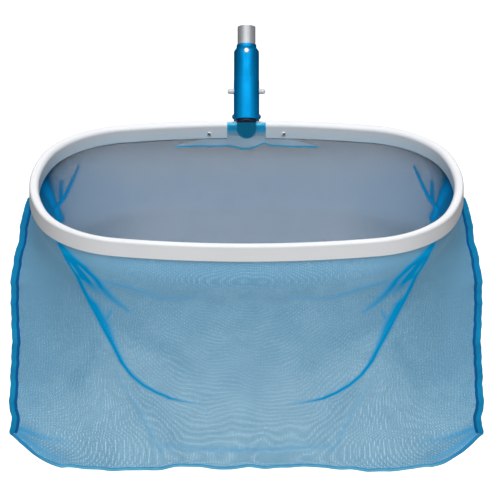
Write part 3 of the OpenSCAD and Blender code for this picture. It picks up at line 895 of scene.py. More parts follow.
@dataclass(frozen=True)
class FinishSet:
    """The finishes: one for each of the record's slots, and two more of the same cloths.

    These are lightened_mouth_blue, a paler copy of the hem cloth that paints light into the frame's
    shade, and shaded_inner_blue, a darker copy of the net for its inner faces, a painted shade.
    """

    frame_white: Material
    bar_aluminium: Material
    screw_steel: Material
    plug_plastic: Material
    handle_blue: Material
    rivet_blue: Material
    stub_aluminium: Material
    stud_white: Material
    spring_steel: Material
    button_white: Material
    cord_white: Material
    hem_blue: Material
    # Paler copy of the hem cloth: painted light in the frame's shade.
    lightened_mouth_blue: Material
    casing_blue: Material
    net_blue: Material
    # Darker copy of the net for its inner faces: painted shade.
    shaded_inner_blue: Material
    binding_blue: Material

    @staticmethod
    def make() -> "FinishSet":
        """Makes every finish once.

        Returns:
            The set.
        """
        level = (0.0, 0.0, 0.0)
        return FinishSet(
            frame_white=PaintedWhite().make(),
            bar_aluminium=DrawnMetal(
                "mill_aluminium", (0.72, 0.74, 0.76), (0.6, 0.62, 0.65), (0.8, 0.8, 0.8), level,
                (6.0, 1200.0, 1200.0), (0.4, 0.55), 0.4,
            ).make(),
            screw_steel=CrossHead().make(),
            plug_plastic=Moulded(
                "navy_plastic", (0.003, 0.010, 0.028), (0.006, 0.018, 0.045), (0.5, 0.62), 0.2
            ).make(),
            handle_blue=DrawnMetal(
                "blue_anodised", (0.003, 0.25, 0.53), (0.002, 0.205, 0.45), (0.01, 0.05, 0.14),
                gloss=(0.6, 0.68),
            ).make(),
            rivet_blue=DrawnMetal(
                "blue_rivet", (0.04, 0.12, 0.24), (0.03, 0.09, 0.2), (0.2, 0.3, 0.5),
                grain=(700.0, 700.0, 700.0), gloss=(0.28, 0.42),
            ).make(),
            stub_aluminium=DrawnMetal(
                "satin_aluminium", (0.44, 0.45, 0.465), (0.34, 0.35, 0.365), (0.45, 0.46, 0.48),
                gloss=(0.55, 0.65), metal=0.6,
            ).make(),
            stud_white=DrawnMetal(
                "pale_stud", (0.5, 0.51, 0.53), (0.42, 0.43, 0.45), (0.7, 0.7, 0.7),
                grain=(500.0, 500.0, 500.0), gloss=(0.35, 0.5), metal=0.3,
            ).make(),
            spring_steel=DrawnMetal(
                "spring_strip", (0.62, 0.64, 0.66), (0.5, 0.52, 0.55), (0.7, 0.7, 0.7),
                gloss=(0.25, 0.4),
            ).make(),
            button_white=Moulded(
                "white_plastic", (0.62, 0.63, 0.65), (0.57, 0.58, 0.61), (0.4, 0.5), 0.3
            ).make(),
            cord_white=BraidedCord().make(),
            hem_blue=TapeCloth(
                "hem_cloth", (0.15, 0.53, 0.76), (0.11, 0.44, 0.69), (0.012, 0.25, 0.52),
                seam_at=(0.0034, 0.0046), pitch=0.0013,
            ).make(),
            # A paler copy of the hem cloth, with a pale grey sewn-line colour: painted light in the frame's
            # shade.
            lightened_mouth_blue=TapeCloth(
                "mouth_cloth_painted_light", (0.26, 0.50, 0.66), (0.22, 0.45, 0.61), (0.5, 0.6, 0.68),
                seam_at=(0.0034, 0.0046), pitch=0.0013,
            ).make(),
            # Paler and greyer than the net: painted light that lifts the casing out of the frame's shade.
            casing_blue=NetWeave(
                "casing_net", (0.40, 0.53, 0.64), (0.35, 0.49, 0.61), (0.02, 0.41, 0.73),
                hole=0.78, clear=0.6,
            ).make(),
            net_blue=NetWeave(
                "net_weave", (0.415, 0.765, 1.0), (0.215, 0.53, 0.79), (0.002, 0.38, 0.80)
            ).make(),
            # A darker copy of the net for its inner faces: painted shade inside the bag.
            shaded_inner_blue=NetWeave(
                "net_weave_inside_painted_shade", (0.010, 0.115, 0.235), (0.008, 0.1, 0.215), (0.004, 0.22, 0.52),
                hole=0.44, gleam=0.03,
            ).make(),
            binding_blue=TapeCloth(
                "binding_cloth", (0.008, 0.295, 0.56), (0.001, 0.22, 0.47), (0.001, 0.085, 0.31),
                seam_at=(0.006, 0.0095),
            ).make(),
        )

    def dress(self, piece: Piece, look: str) -> None:
        """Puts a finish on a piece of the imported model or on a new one.

        Args:
            piece: The object.
            look: The finish's name in this set.
        """
        material = getattr(self, look)
        if not piece.material_slots:
            piece.data.materials.append(material)
        for held in piece.material_slots:
            held.material = material


def add_piece(
    grid: Grid, name: str, slot: str, finishes: FinishSet, replaced: tuple[str, ...]
) -> Piece:
    """Builds a grid as a piece of the skimmer: dressed, riding on its body, standing for CAD nodes.

    Args:
        grid: The surface.
        name: The piece's name.
        slot: The record's material slot.
        finishes: The finishes.
        replaced: The CAD nodes it stands for.

    Returns:
        The piece.
    """
    piece = grid.build(name)
    finishes.dress(piece, slot)
    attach(piece, BODY)
    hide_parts(*replaced)
    log.info("%s: %d faces", name, len(piece.data.polygons))
    return piece


# ---------- Frame ----------


@dataclass
class Rail:
    """The frame's open channel, bent to the outline and cut square at the handle."""

    height: float = 0.019
    thickness: float = 0.0106
    wall: float = 0.0014
    inner_round: float = 0.005
    top_round: float = 0.0026
    edge_round: float = 0.0008
    inside_round: float = 0.0003
    slot: float = 0.0036
    half_gap: float = 0.021
    # Where the painted blue bounce light and shade lies on the inner face.
    bounce_shade_edge: float = 0.0015
    bounce_shade_top: float = 0.001
    bounce_shade_run: float = 0.014
    stations: int = 460
    cut_stations: int = 8
    steps: int = 5

    def section(self) -> tuple[Array, Array]:
        """The channel's section: x out from the outer face, y up from the top.

        Returns:
            Its points and outward normals.
        """
        t, h, w = self.thickness, self.height, self.wall
        lip_in, lip_out = -t / 2 - self.slot / 2, -t / 2 + self.slot / 2
        corners = np.array([
            (0, 0), (-t, 0), (-t, -h), (lip_in, -h), (lip_in, w - h), (w - t, w - h),
            (w - t, -w), (-w, -w), (-w, w - h), (lip_out, w - h), (lip_out, -h), (0, -h),
        ])
        outer, inner = self.edge_round, self.inside_round
        cavity = self.inner_round - w
        radii = np.array([
            self.top_round, self.inner_round, outer, inner, inner, inner,
            cavity, inner, inner, inner, inner, outer,
        ])
        return rounded_section(corners, radii, self.steps)

    def surface(self) -> Grid:
        """The section carried round the outline, from one cut end over the front to the other.

        Each point keeps its distance from the outer face. Near the two ends its turn is shifted so
        that every point of the last section lies in the plane of the cut. The painted_bounce_shade mark, a
        painted blue bounce light and shade, grows down the inner face, by a smooth step of the height, and
        is nothing elsewhere.

        Returns:
            The channel as a closed surface.
        """
        section, out = self.section()
        inset = -section[:, 0]
        end = np.arccos(self.half_gap / (OUTLINE.side_radius - inset))
        middle = math.acos(self.half_gap / (OUTLINE.side_radius - OUTLINE.hem_inset))
        turns = OUTLINE.even_turns(middle, -math.pi - middle, self.stations)
        run = np.arange(self.stations)
        near = smooth_step(1 - run / self.cut_stations) - smooth_step(1 - run[::-1] / self.cut_stations)
        turn = turns[:, None] + (end - middle)[None, :] * near[:, None]
        plan = OUTLINE.at(turn, inset[None, :])
        height = np.broadcast_to(section[None, :, 1], turn.shape)
        points = np.concatenate([plan, height[..., None]], axis=-1) + TOP
        aside, up = out[None, :, 0], np.broadcast_to(out[None, :, 1], turn.shape)
        normals = np.stack([aside * np.cos(turn), aside * np.sin(turn), up], axis=-1)
        # Painted blue bounce light and shade, growing down the inner face.
        on_inner = smooth_step((inset - self.thickness + self.bounce_shade_edge) / self.bounce_shade_edge)
        lower = smooth_step((-section[:, 1] - self.bounce_shade_top) / self.bounce_shade_run)
        painted_bounce_shade = np.broadcast_to((on_inner * lower)[None, :], turn.shape)
        return Grid(points, normals=normals, marks={"painted_bounce_shade": painted_bounce_shade}, closed_columns=True, capped=True)

    def build(self, finishes: FinishSet) -> None:
        """Builds and dresses the channel."""
        add_piece(self.surface(), "frame_channel", "frame_white", finishes, ("frame_rail",))


@dataclass
class HandleParts:
    """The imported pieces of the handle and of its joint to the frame, which keep their shapes."""

    slots: tuple[tuple[str, str], ...] = (
        ("yoke_bar", "bar_aluminium"),
        ("rail_screws", "screw_steel"),
        ("handle_plug", "plug_plastic"),
        ("handle_tube", "handle_blue"),
        ("cross_rivet", "rivet_blue"),
        ("pole_stub", "stub_aluminium"),
        ("stub_stud", "stud_white"),
        ("button_left", "button_white"),
        ("button_right", "button_white"),
        ("lock_cord", "cord_white"),
    )

    def dress(self, finishes: FinishSet) -> None:
        """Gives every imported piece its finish.

        Args:
            finishes: The finishes.
        """
        for node, slot in self.slots:
            finishes.dress(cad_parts[node], slot)
            log.info("%s keeps its packed shape", node)


@dataclass
class ClipSpring:
    """The strip spring behind the buttons, built as two halves, one for each arm."""

    arm_out: float = 0.01016
    seat_half: float = 0.005
    tail_in: float = 0.0015
    tail_low: float = -0.007
    height: float = 0.03
    bend: float = 0.004
    width: float = 0.008
    thickness: float = 0.0007
    edge_round: float = 0.00015
    buttons_up: float = -0.0222
    turn_points: int = 9
    arm_points: int = 26
    round_steps: int = 2
    halves: tuple[tuple[str, int], ...] = (("left", -1), ("right", 1))

    def placed(self, points: Array) -> Array:
        """Points of the handle's own frame in the row frame, turned by the handle's lean about X.

        Args:
            points: Points as out, across the strip, and up from the buttons.

        Returns:
            The same points in the row frame.
        """
        out, over, up = np.moveaxis(points, -1, 0)
        along = up + self.buttons_up
        cos, sin = math.cos(HANDLE_LEAN), math.sin(HANDLE_LEAN)
        return np.stack([out, over * cos + along * sin, along * cos - over * sin], axis=-1)

    def path(self) -> Array:
        """Half the strip's middle line: a quarter turn at the top, the arm, the seat and the tail.

        Returns:
            Its points, as out and up from the buttons.
        """
        turn = np.linspace(math.pi / 2, 0, self.turn_points)
        centre = self.height - self.bend
        top = np.stack([self.bend * np.cos(turn), centre + self.bend * np.sin(turn)], axis=-1)
        seat = np.array([self.arm_out, self.seat_half])
        arm = top[-1] + (seat - top[-1]) * np.linspace(0, 1, self.arm_points)[1:, None]
        foot = np.array([(self.arm_out, -self.seat_half), (self.arm_out - self.tail_in, self.tail_low)])
        return np.concatenate([top, arm, foot])

    def surface(self, side: int) -> Grid:
        """A rounded strip section carried along half the middle line.

        Args:
            side: -1 for the left half, 1 for the right.

        Returns:
            The half as a closed surface.
        """
        half_t, half_w = self.thickness / 2, self.width / 2
        corners = np.array([(half_t, half_w), (-half_t, half_w), (-half_t, -half_w), (half_t, -half_w)])
        section, facing = rounded_section(corners, np.full(4, self.edge_round), self.round_steps)
        path = self.path()
        way = unit(np.gradient(path, axis=0))
        way[0] = (1, 0)
        beside = np.stack([-way[:, 1], way[:, 0]], axis=-1)

        def carried(flat: Array) -> Array:
            """Carries flat vectors along the path.

            Args:
                flat: Vectors in the section's plane: x beside the path and y over the strip.

            Returns:
                The same vectors at every station.
            """
            bent = beside[:, None, :] * flat[None, :, :1]
            over = np.broadcast_to(flat[None, :, 1:], bent[..., :1].shape)
            return np.concatenate([bent[..., :1] * side, over, bent[..., 1:]], axis=-1)

        line = np.stack([path[:, 0] * side, np.zeros(len(path)), path[:, 1]], axis=-1)[:, None, :]
        points = self.placed(line + carried(section))
        normals = self.placed(carried(facing)) - self.placed(np.zeros(3))
        return Grid(points, normals=normals, closed_columns=True, capped=True, flipped=side > 0)

    def build(self, finishes: FinishSet) -> None:
        """Builds and dresses both halves.

        Args:
            finishes: The finishes.
        """
        for name, side in self.halves:
            piece = self.surface(side).build(f"clip_spring_{name}")
            finishes.dress(piece, "spring_steel")
            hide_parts("clip_spring")
            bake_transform(piece)
            log.info("%s: %d faces", piece.name, len(piece.data.polygons))


# ---------- Mouth ----------


@dataclass
class MouthHem:
    """Hem tape of the net's mouth: a sleeve round the lock cord, a neck and two legs on the net."""

    sleeve_radius: float = 0.00265
    sleeve_height: float = -0.01495
    neck_half: float = 0.00055
    leg_half: float = 0.00095
    leg_top: float = -0.0195
    leg_bottom: float = -0.0213
    leg_bend: float = 0.0008
    tape: float = 0.0005
    half_gap: float = 0.0765
    low_drop: float = 0.0002
    side_waves: Waves = ((0.00018, 0.023, 0.0), (0.00012, 0.0091, 1.3))
    low_waves: Waves = ((0.0003, 0.031, 0.6),)
    ring_points: int = 25
    stations: int = 520

    def section(self) -> Array:
        """The tape's middle line: up one leg, round the cord and down the other, thickened.

        Returns:
            The outline as x out from the hem line and y up from the frame's top.
        """
        opening = math.asin(self.neck_half / self.sleeve_radius)
        start = -math.pi / 2 - opening
        turn = np.linspace(start, -math.pi / 2 + opening - FULL_TURN, self.ring_points)
        ring = self.sleeve_radius * np.stack([np.cos(turn), np.sin(turn)], axis=-1)
        ring[:, 1] += self.sleeve_height
        left = np.array([
            (-self.leg_half, self.leg_bottom),
            (-self.leg_half, self.leg_top - self.leg_bend),
            (-self.neck_half, self.leg_top),
        ])
        right = left[::-1] * np.array([-1, 1])
        return strip_section(np.concatenate([left, ring, right]), self.tape)

    def surface(self) -> Grid:
        """The tape carried round the hem line, open at the handle.

        Its legs wave in and out, and up and down, by sums of sines of the length run, which are nothing
        at the neck and grow to the leg's lower edge. The fold mark is 1 on the inner leg's face towards
        the mouth, and 0 elsewhere; there it takes the tape to a pale grey, painted light in the frame's
        shade.

        Returns:
            The tape as a closed surface.
        """
        section = self.section()
        start = math.acos(self.half_gap / (OUTLINE.side_radius - OUTLINE.hem_inset))
        turns = OUTLINE.even_turns(start, -math.pi - start, self.stations)
        line = OUTLINE.at(turns, OUTLINE.hem_inset)
        run = lengths_along(line)
        low = smooth_step((self.leg_top - section[:, 1]) / (self.leg_top - self.leg_bottom))
        wave = ripples(run, self.side_waves)
        dip = ripples(run, self.low_waves) - self.low_drop
        out = section[None, :, 0] + wave[:, None] * low[None, :]
        plan = OUTLINE.at(np.broadcast_to(turns[:, None], out.shape), OUTLINE.hem_inset - out)
        height = section[None, :, 1] + dip[:, None] * low[None, :]
        points = np.concatenate([plan, height[..., None]], axis=-1) + TOP
        round_run = lengths_along(np.concatenate([section, section[:1]]))
        cloth = carried_grid(run, round_run)
        inner = np.arange(len(section)) < len(section) // 2
        # Inner leg facing the mouth: painted light, a pale grey in the frame's shade.
        painted_light_leg = np.broadcast_to(inner & (section[:, 0] < 0), out.shape).astype(float)
        return Grid(points, cloth=cloth, marks={"fold": painted_light_leg}, closed_columns=True, capped=True)

    def build(self, finishes: FinishSet) -> Piece:
        """Builds and dresses the hem.

        Args:
            finishes: The finishes.

        Returns:
            The piece.
        """
        piece = add_piece(self.surface(), "mouth_hem_tape", "hem_blue", finishes, ("mouth_hem",))
        # The hem wears the lightened copy: painted light against the frame's shade.
        finishes.dress(piece, "lightened_mouth_blue")
        return piece


@dataclass
class Casing:
    """Wide net casing at the handle: a tab that closes the frame's gap and a band below the frame."""

    reach: float = 0.081
    square_reach: float = 0.05
    tab_half: float = 0.0219
    tab_top: float = 0.0012
    band_top: float = -0.0193
    drop: float = -0.0285
    dip: float = 0.0042
    inset: float = 0.0113
    hem: float = 0.0023
    hem_edge: float = 0.0008
    dip_middle: float = -0.001
    dip_half: float = 0.022
    bump: float = 0.0024
    bump_at: float = 0.0195
    bump_half: float = 0.006
    low_waves: Waves = ((0.0003, 0.083, 0.8),)
    face_waves: Waves = ((0.0004, 0.043, 0.4),)
    face_out: float = 0.0004
    face_run: float = 0.009
    step: float = 1e-5
    foot: float = -0.0198
    foot_rise: float = 0.0023
    foot_half: float = 0.0105
    close_above: float = 0.0022
    close_run: float = 0.001
    tab_run: Pair = (0.002, 0.009)
    columns: int = 163
    rows: int = 40

    def edges(self, across: Array) -> tuple[Array, Array]:
        """The sheet's upper and lower edges.

        The lower edge follows a cosine dip in the middle, a bell-shaped rise beside it and a small
        sine. The upper edge is the tab's, then the band's, and runs down in a straight line to the
        hem at both ends.

        Args:
            across: Distance from the middle plane.

        Returns:
            The heights of both edges.
        """
        hollow = np.clip(np.abs(across - self.dip_middle) / self.dip_half, 0, 1)
        bottom = self.drop - self.dip * (0.5 + 0.5 * np.cos(math.pi * hollow))
        bottom = bottom + self.bump * np.exp(-(((across - self.bump_at) / self.bump_half) ** 2))
        bottom = bottom + ripples(across, self.low_waves)
        tapered = np.clip((np.abs(across) - self.square_reach) / (self.reach - self.square_reach), 0, 1)
        band = self.band_top + (bottom + self.hem - self.band_top) * tapered
        return np.where(np.abs(across) <= self.tab_half, self.tab_top, band), bottom

    def surface(self) -> Grid:
        """The casing's sheet, hung in front of the channel's inner face.

        Its face waves forwards by small sines that grow downwards. The fold mark is 0.9 in the
        turned-up hem at its lower edge and up to 1 on the tab, where it falls to 0.7 at the sides. The
        sheer mark is 1 on the tab, and the close mark is 1 below the tab's foot and 0.64 on the tab.

        Returns:
            The sheet.
        """
        across = np.linspace(-self.reach, self.reach, self.columns)
        step = np.array([self.tab_half - self.step, self.tab_half + self.step])
        across = np.sort(np.concatenate([across, step, -step]))
        top, bottom = self.edges(across)
        share = np.linspace(0, 1, self.rows)[:, None]
        height = top[None, :] + (bottom - top)[None, :] * share
        turn = np.arcsin(across / (OUTLINE.side_radius - self.inset))[None, :]
        low = smooth_step((self.band_top - height) / self.face_run)
        wave = (self.face_out + ripples(across, self.face_waves))[None, :] * low
        radius = OUTLINE.side_radius - self.inset - wave
        plan = [radius * np.sin(turn), radius * np.cos(turn) - OUTLINE.side_drop]
        points = np.stack([*plan, height], axis=-1) + TOP
        cloth = np.stack([np.broadcast_to(across[None, :], height.shape), -height], axis=-1)
        fold = smooth_step((bottom[None, :] + self.hem - height) / self.hem_edge) * 0.9
        beside = np.clip(across / self.foot_half, -1, 1) ** 2
        foot = self.foot + self.foot_rise * beside
        close = smooth_step((foot + self.close_above - height) / self.close_run)
        on_tab = smooth_step((height - foot) / (self.tab_run[0] + self.tab_run[1] * beside))
        on_tab = on_tab * (np.abs(across) < self.tab_half)[None, :]
        # Deeper blue over the tab, less towards its sides.
        tab_deep_blue = on_tab * (1 - 0.3 * beside)
        marks = {
            "fold": np.maximum(fold, tab_deep_blue),
            "close": np.maximum(close, 0.64 * on_tab),
            "sheer": on_tab,
        }
        return Grid(points, cloth=cloth, marks=marks, flipped=True)

    def build(self, finishes: FinishSet) -> None:
        """Args:
            finishes: The finishes.
        """
        piece = add_piece(self.surface(), "casing_net", "casing_blue", finishes, ("hem_casing",))


# ---------- Net bag ----------


class Panel(enum.Enum):
    """The two net panels, with the way each faces along Y."""

    FRONT = -1
    BACK = 1


@dataclass(frozen=True)
class FoldLine:
    """A crease or a shade of the net along a line, the same on both sides of the bag.

    Its strength at a point is a bell over the distance from the line, in widths. The mark is that
    times a darkness, and the rise is that times a height which loses a share of itself towards the
    line's end. Width and darkness run evenly from their first value to their last. The line's points
    are distances from the middle plane and heights from the frame's top.
    """

    line: Line
    width: Pair
    dark: Pair
    rise: float
    rise_lost: float = 0.7

    def strength(self, x: Array, z: Array) -> tuple[Array, Array]:
        """How strong it is.

        Args:
            x: Distance from the middle plane.
            z: Height from the frame's top.

        Returns:
            The mark and the rise at each point.
        """
        line = np.array(self.line)
        run = lengths_along(line) / lengths_along(line)[-1]
        best = np.full(x.shape, np.inf)
        along = np.zeros(x.shape)
        for start, stop, first, last in zip(line[:-1], line[1:], run[:-1], run[1:]):
            way = stop - start
            share = np.clip(((x - start[0]) * way[0] + (z - start[1]) * way[1]) / np.dot(way, way), 0, 1)
            gap = np.hypot(x - start[0] - share * way[0], z - start[1] - share * way[1])
            nearer = gap < best
            best = np.where(nearer, gap, best)
            along = np.where(nearer, first + (last - first) * share, along)
        width = self.width[0] + (self.width[1] - self.width[0]) * along
        bell = np.exp(-((best / width) ** 2))
        dark = self.dark[0] + (self.dark[1] - self.dark[0]) * along
        return dark * bell, self.rise * bell * (1 - self.rise_lost * along)


@dataclass
class NetShape:
    """The net bag's form, before its creases: two panels that hang from the mouth's oval.

    Below the frame the side seams turn out and flare; the panels change from the oval to a wedge
    that closes on the bottom seam; the lower corners are cut off. Heights are from the frame's top.
    """

    edge_half: float = 0.2677
    top_half: float = 0.2347
    fin_out: float = 0.008
    flare: float = 0.075
    swell_start: float = -0.0243
    swell_end: float = -0.0943
    corner_top: float = -0.319
    corner_cut: float = 0.057
    corner_bend: float = 0.2
    panel_top: float = -0.0201
    flat_bottom: float = -0.3572
    bottom: float = -0.3632
    half_gap: float = 0.00055
    wedge: float = 1.15
    wedge_top: float = -0.024
    fin_share: float = 0.03
    fin_blend: float = 0.05
    fin_top: float = -0.0178
    fin_low: float = -0.0214
    foot_run: float = 0.05
    side_fades: Pair = (0.02, 0.03)
    side_waves: Waves = ((0.0003, 0.031, 0.7), (0.0002, 0.0137, 2.0))
    lean_waves: Waves = ((0.0016, 0.083, 1.1), (0.0008, 0.037, 0.0))
    foot_waves: Waves = ((0.0003, 0.029, 0.5),)
    foot_lean: Waves = ((0.0018, 0.093, 0.9), (0.0007, 0.041, 2.2))
    side_knots: Line = (
        (-0.319, 0.0008), (-0.3, -0.0024), (-0.283, 0.0003), (-0.249, -0.0012), (-0.2, -0.003),
        (-0.15, -0.0005), (-0.122, 0.0011), (-0.098, 0.0), (-0.073, -0.0024), (-0.043, -0.0002),
    )
    foot_knots: Line = (
        (-0.26, 0.0), (-0.206, 0.0022), (-0.165, -0.0024), (-0.125, -0.0008), (-0.099, -0.0016),
        (-0.066, 0.0032), (-0.018, 0.0), (0.004, 0.0011), (0.023, 0.0), (0.059, 0.004),
        (0.114, -0.0016), (0.162, -0.0026), (0.214, 0.0017), (0.26, 0.0),
    )

    def half_width(self, z: Array) -> Array:
        """Half the bag's width: an exponential flare, then a cut that bends into the bottom edge.

        Args:
            z: Heights.

        Returns:
            The half widths.
        """
        held = np.maximum(z, self.corner_top)
        grow = np.exp((held - self.swell_start) / self.flare)
        width = self.edge_half - (self.edge_half - self.top_half - self.fin_out) * grow
        share = np.clip((self.corner_top - z) / (self.corner_top - self.bottom), 0, 1)
        return width - self.corner_cut * (share + (share**6 - share) * self.corner_bend)

    def side_drift(self, z: Array) -> tuple[Array, Array]:
        """How far the side seams stray from their even line: a soft line through knots, and sines.

        Args:
            z: Heights.

        Returns:
            The drifts along x, outwards, and along y.
        """
        high, low = self.side_fades
        fade = smooth_step((self.swell_start - z) / high) * smooth_step((z - self.bottom) / low)
        out = soft_line(z, self.side_knots) + ripples(z, self.side_waves)
        return out * fade, ripples(z, self.lean_waves) * fade

    def foot_drift(self, x: Array) -> tuple[Array, Array]:
        """How far the bottom seam strays: sines along its length, and a soft line through knots.

        Args:
            x: Distance along the seam from the middle plane.

        Returns:
            The drifts along y and z.
        """
        return ripples(x, self.foot_lean), soft_line(x, self.foot_knots) + ripples(x, self.foot_waves)

    def near_foot(self, z: Array) -> Array:
        """How much a height follows the bottom seam's drift: 1 at the seam and 0 a run above it."""
        return smooth_step(1 - (z - self.bottom) / self.foot_run)

    def smooth_panel(self, across: Array, z: Array) -> Array:
        """A panel before its creases, facing +Y.

        The top row is the hem line's quarter points. Below, x is the half width times the share and
        y is the hem line's depth times a power of the height that is left. The two are mixed by a
        smooth step over the swell's height, which is short at the side seams.

        Args:
            across: From -1 at the left seam to 1 at the right.
            z: Heights.

        Returns:
            The points, measured from the frame's top centre.
        """
        share = 1 - np.abs(across)
        top = OUTLINE.at(OUTLINE.quarter_turn(share), OUTLINE.hem_inset)
        height = (z - self.flat_bottom) / (self.wedge_top - self.flat_bottom)
        left = np.clip(height, 0, 1) ** self.wedge
        inner = np.clip((share - self.fin_share) / (1 - self.fin_share), 0, 1)
        depth = OUTLINE.at(OUTLINE.quarter_turn(inner), OUTLINE.hem_inset)[..., 1]
        low = np.stack([self.half_width(z) * (1 - share), self.half_gap + depth * left], axis=-1)
        at_edge = smooth_step((self.fin_top - z) / (self.fin_top - self.fin_low))
        inside = smooth_step((self.swell_start - z) / (self.swell_start - self.swell_end))
        mixed = at_edge + (inside - at_edge) * smooth_step((share - self.fin_share) / self.fin_blend)
        plan = top + (low - top) * mixed[..., None]
        return np.stack([plan[..., 0] * np.where(across < 0, -1, 1), plan[..., 1], z], axis=-1)


@dataclass
class NetBag:
    """The two net panels with their soft waves and creases."""

    shape: NetShape
    columns: int = 249
    rows: int = 186
    thread: float = 0.00014
    swell: float = 0.0016
    back_phase: float = 2.1
    back_count: Pair = (1.26, 1.26)
    front_count: Pair = (1.0, 0.895)
    column_crowd: float = 1.15
    row_crowd: float = 1.1
    room: float = 0.030
    hung_from: float = -0.045
    hung_run: float = 0.11
    held_room: float = 0.012
    held_gap: float = 0.004
    side_run: float = 0.12
    side_shade: float = 0.45
    side_shade_from: float = 0.5
    side_shade_run: float = 0.4
    foot_shade: float = 0.3
    foot_shade_run: float = 0.03
    front_folds: tuple[FoldLine, ...] = (
        # The main crease, from under the frame down to the belly, and its fading end.
        FoldLine(
            ((0.2047, -0.0205), (0.198, -0.0338), (0.1912, -0.0678), (0.1815, -0.0947), (0.1645, -0.1304),
             (0.1565, -0.1502), (0.1467, -0.1734), (0.1389, -0.1955), (0.1279, -0.2153), (0.1151, -0.2299),
             (0.1005, -0.2419), (0.0856, -0.2502)),
            (0.0029, 0.0023), (1.0, 0.85), 0.003,
        ),
        FoldLine(
            ((0.0856, -0.2502), (0.0726, -0.2544), (0.0596, -0.2573), (0.0487, -0.2578)),
            (0.0021, 0.0012), (0.85, 0.2), 0.0009,
        ),
        # The wide part beside its top.
        FoldLine(
            ((0.2007, -0.027), (0.1945, -0.0358), (0.1886, -0.046), (0.1838, -0.0592), (0.178, -0.0793)),
            (0.004, 0.0084), (1.0, 0.92), 0.001,
        ),
        # The band that runs down beside it.
        FoldLine(((0.1745, -0.104), (0.1682, -0.1155)), (0.002, 0.0062), (0.5, 0.74), 0.0006),
        FoldLine(
            ((0.1682, -0.1155), (0.1552, -0.1421), (0.1448, -0.1766), (0.134, -0.2033)),
            (0.0062, 0.0026), (0.74, 0.5), 0.0006,
        ),
        # The upper branch, its fading end, and the cloth gathered below it.
        FoldLine(
            ((0.2018, -0.0265), (0.1896, -0.0353), (0.1767, -0.0458), (0.1658, -0.0644), (0.1589, -0.0844)),
            (0.004, 0.008), (0.95, 0.66), 0.0025,
        ),
        FoldLine(
            ((0.1589, -0.0844), (0.1503, -0.0957), (0.1403, -0.1047), (0.1291, -0.1133)),
            (0.008, 0.0024), (0.66, 0.36), 0.0016,
        ),
        FoldLine(((0.1772, -0.0793), (0.1694, -0.0893), (0.162, -0.0947)), (0.0075, 0.006), (0.92, 0.3), 0.0),
        # The faint fold across the front, under the frame.
        FoldLine(
            ((0.1497, -0.0641), (0.1267, -0.0676), (0.1095, -0.0761), (0.0943, -0.0844), (0.0692, -0.0815),
             (0.0452, -0.0793)),
            (0.0058, 0.003), (0.36, 0.12), 0.0012,
        ),
        # A short pull beside the main crease.
        FoldLine(((0.1538, -0.1316), (0.1489, -0.1184)), (0.0024, 0.002), (0.5, 0.4), 0.0006),
        # The faint folds of the belly, low down.
        FoldLine(
            ((0.0, -0.3353), (0.0526, -0.3339), (0.0923, -0.3295)),
            (0.0045, 0.0055), (0.26, 0.16), 0.0007,
        ),
        FoldLine(
            ((0.1445, -0.2131), (0.1348, -0.2404), (0.1217, -0.2683), (0.1122, -0.2972), (0.1046, -0.3214),
             (0.0968, -0.3373)),
            (0.002, 0.003), (0.1, 0.22), 0.0012,
        ),
        # The pulls at the cut-off corner.
        FoldLine(
            ((0.2598, -0.3165), (0.2452, -0.329), (0.2253, -0.3445), (0.2096, -0.352)),
            (0.0055, 0.004), (0.4, 0.16), 0.0,
        ),
        FoldLine(
            ((0.2598, -0.3105), (0.2284, -0.3215), (0.1976, -0.3285)),
            (0.0035, 0.005), (0.5, 0.08), 0.0008,
        ),
    )
    back_folds: tuple[FoldLine, ...] = (
        # The crease inside the mouth.
        FoldLine(
            ((0.2311, -0.0218), (0.2251, -0.0363), (0.2197, -0.048), (0.2138, -0.0614)),
            (0.0038, 0.0022), (0.8, 0.9), 0.0022,
        ),
        # Its branches.
        FoldLine(
            ((0.189, -0.0385), (0.1955, -0.0473), (0.2029, -0.0558), (0.2137, -0.0617)),
            (0.0012, 0.0018), (0.5, 0.85), 0.0018,
        ),
        FoldLine(((0.2082, -0.0443), (0.2082, -0.0563)), (0.0022, 0.0018), (0.3, 0.55), 0.001),
        FoldLine(((0.2138, -0.0614), (0.2089, -0.0732)), (0.0022, 0.0042), (0.9, 0.55), 0.002),
        # The shadow beside it.
        FoldLine(((0.2311, -0.0314), (0.226, -0.0478), (0.2174, -0.0627)), (0.004, 0.003), (0.4, 0.4), 0.0),
    )
    front_shades: tuple[FoldLine, ...] = (
        # Hollows of the side fin.
        FoldLine(((0.204, -0.1035), (0.2243, -0.1509)), (0.006, 0.008), (0.28, 0.24), 0.0012),
        FoldLine(((0.2425, -0.191), (0.2261, -0.2263)), (0.012, 0.012), (0.2, 0.2), 0.0012),
        # Hollows of the belly and under the frame.
        FoldLine(
            ((0.1415, -0.127), (0.1173, -0.149), (0.0902, -0.1712), (0.0683, -0.195)),
            (0.018, 0.014), (0.36, 0.28), -0.0012,
        ),
        FoldLine(
            ((0.1658, -0.1715), (0.1769, -0.2047), (0.1924, -0.2412)),
            (0.008, 0.01), (0.35, 0.3), 0.001,
        ),
        FoldLine(((0.0721, -0.0441), (0.0342, -0.0451), (0.0, -0.0392)), (0.012, 0.014), (0.3, 0.35), 0.0),
        # The fin's low end and the cut-off corner.
        FoldLine(((0.2529, -0.2544), (0.2441, -0.2725)), (0.01, 0.009), (0.2, 0.14), 0.001),
        FoldLine(((0.2598, -0.3145), (0.2452, -0.3258), (0.2096, -0.3507)), (0.014, 0.01), (0.75, 0.5), 0.0),
        # The hollow beside the belly's faint fold.
        FoldLine(((0.1252, -0.2283), (0.103, -0.272), (0.088, -0.318)), (0.012, 0.016), (0.25, 0.25), 0.0),
    )

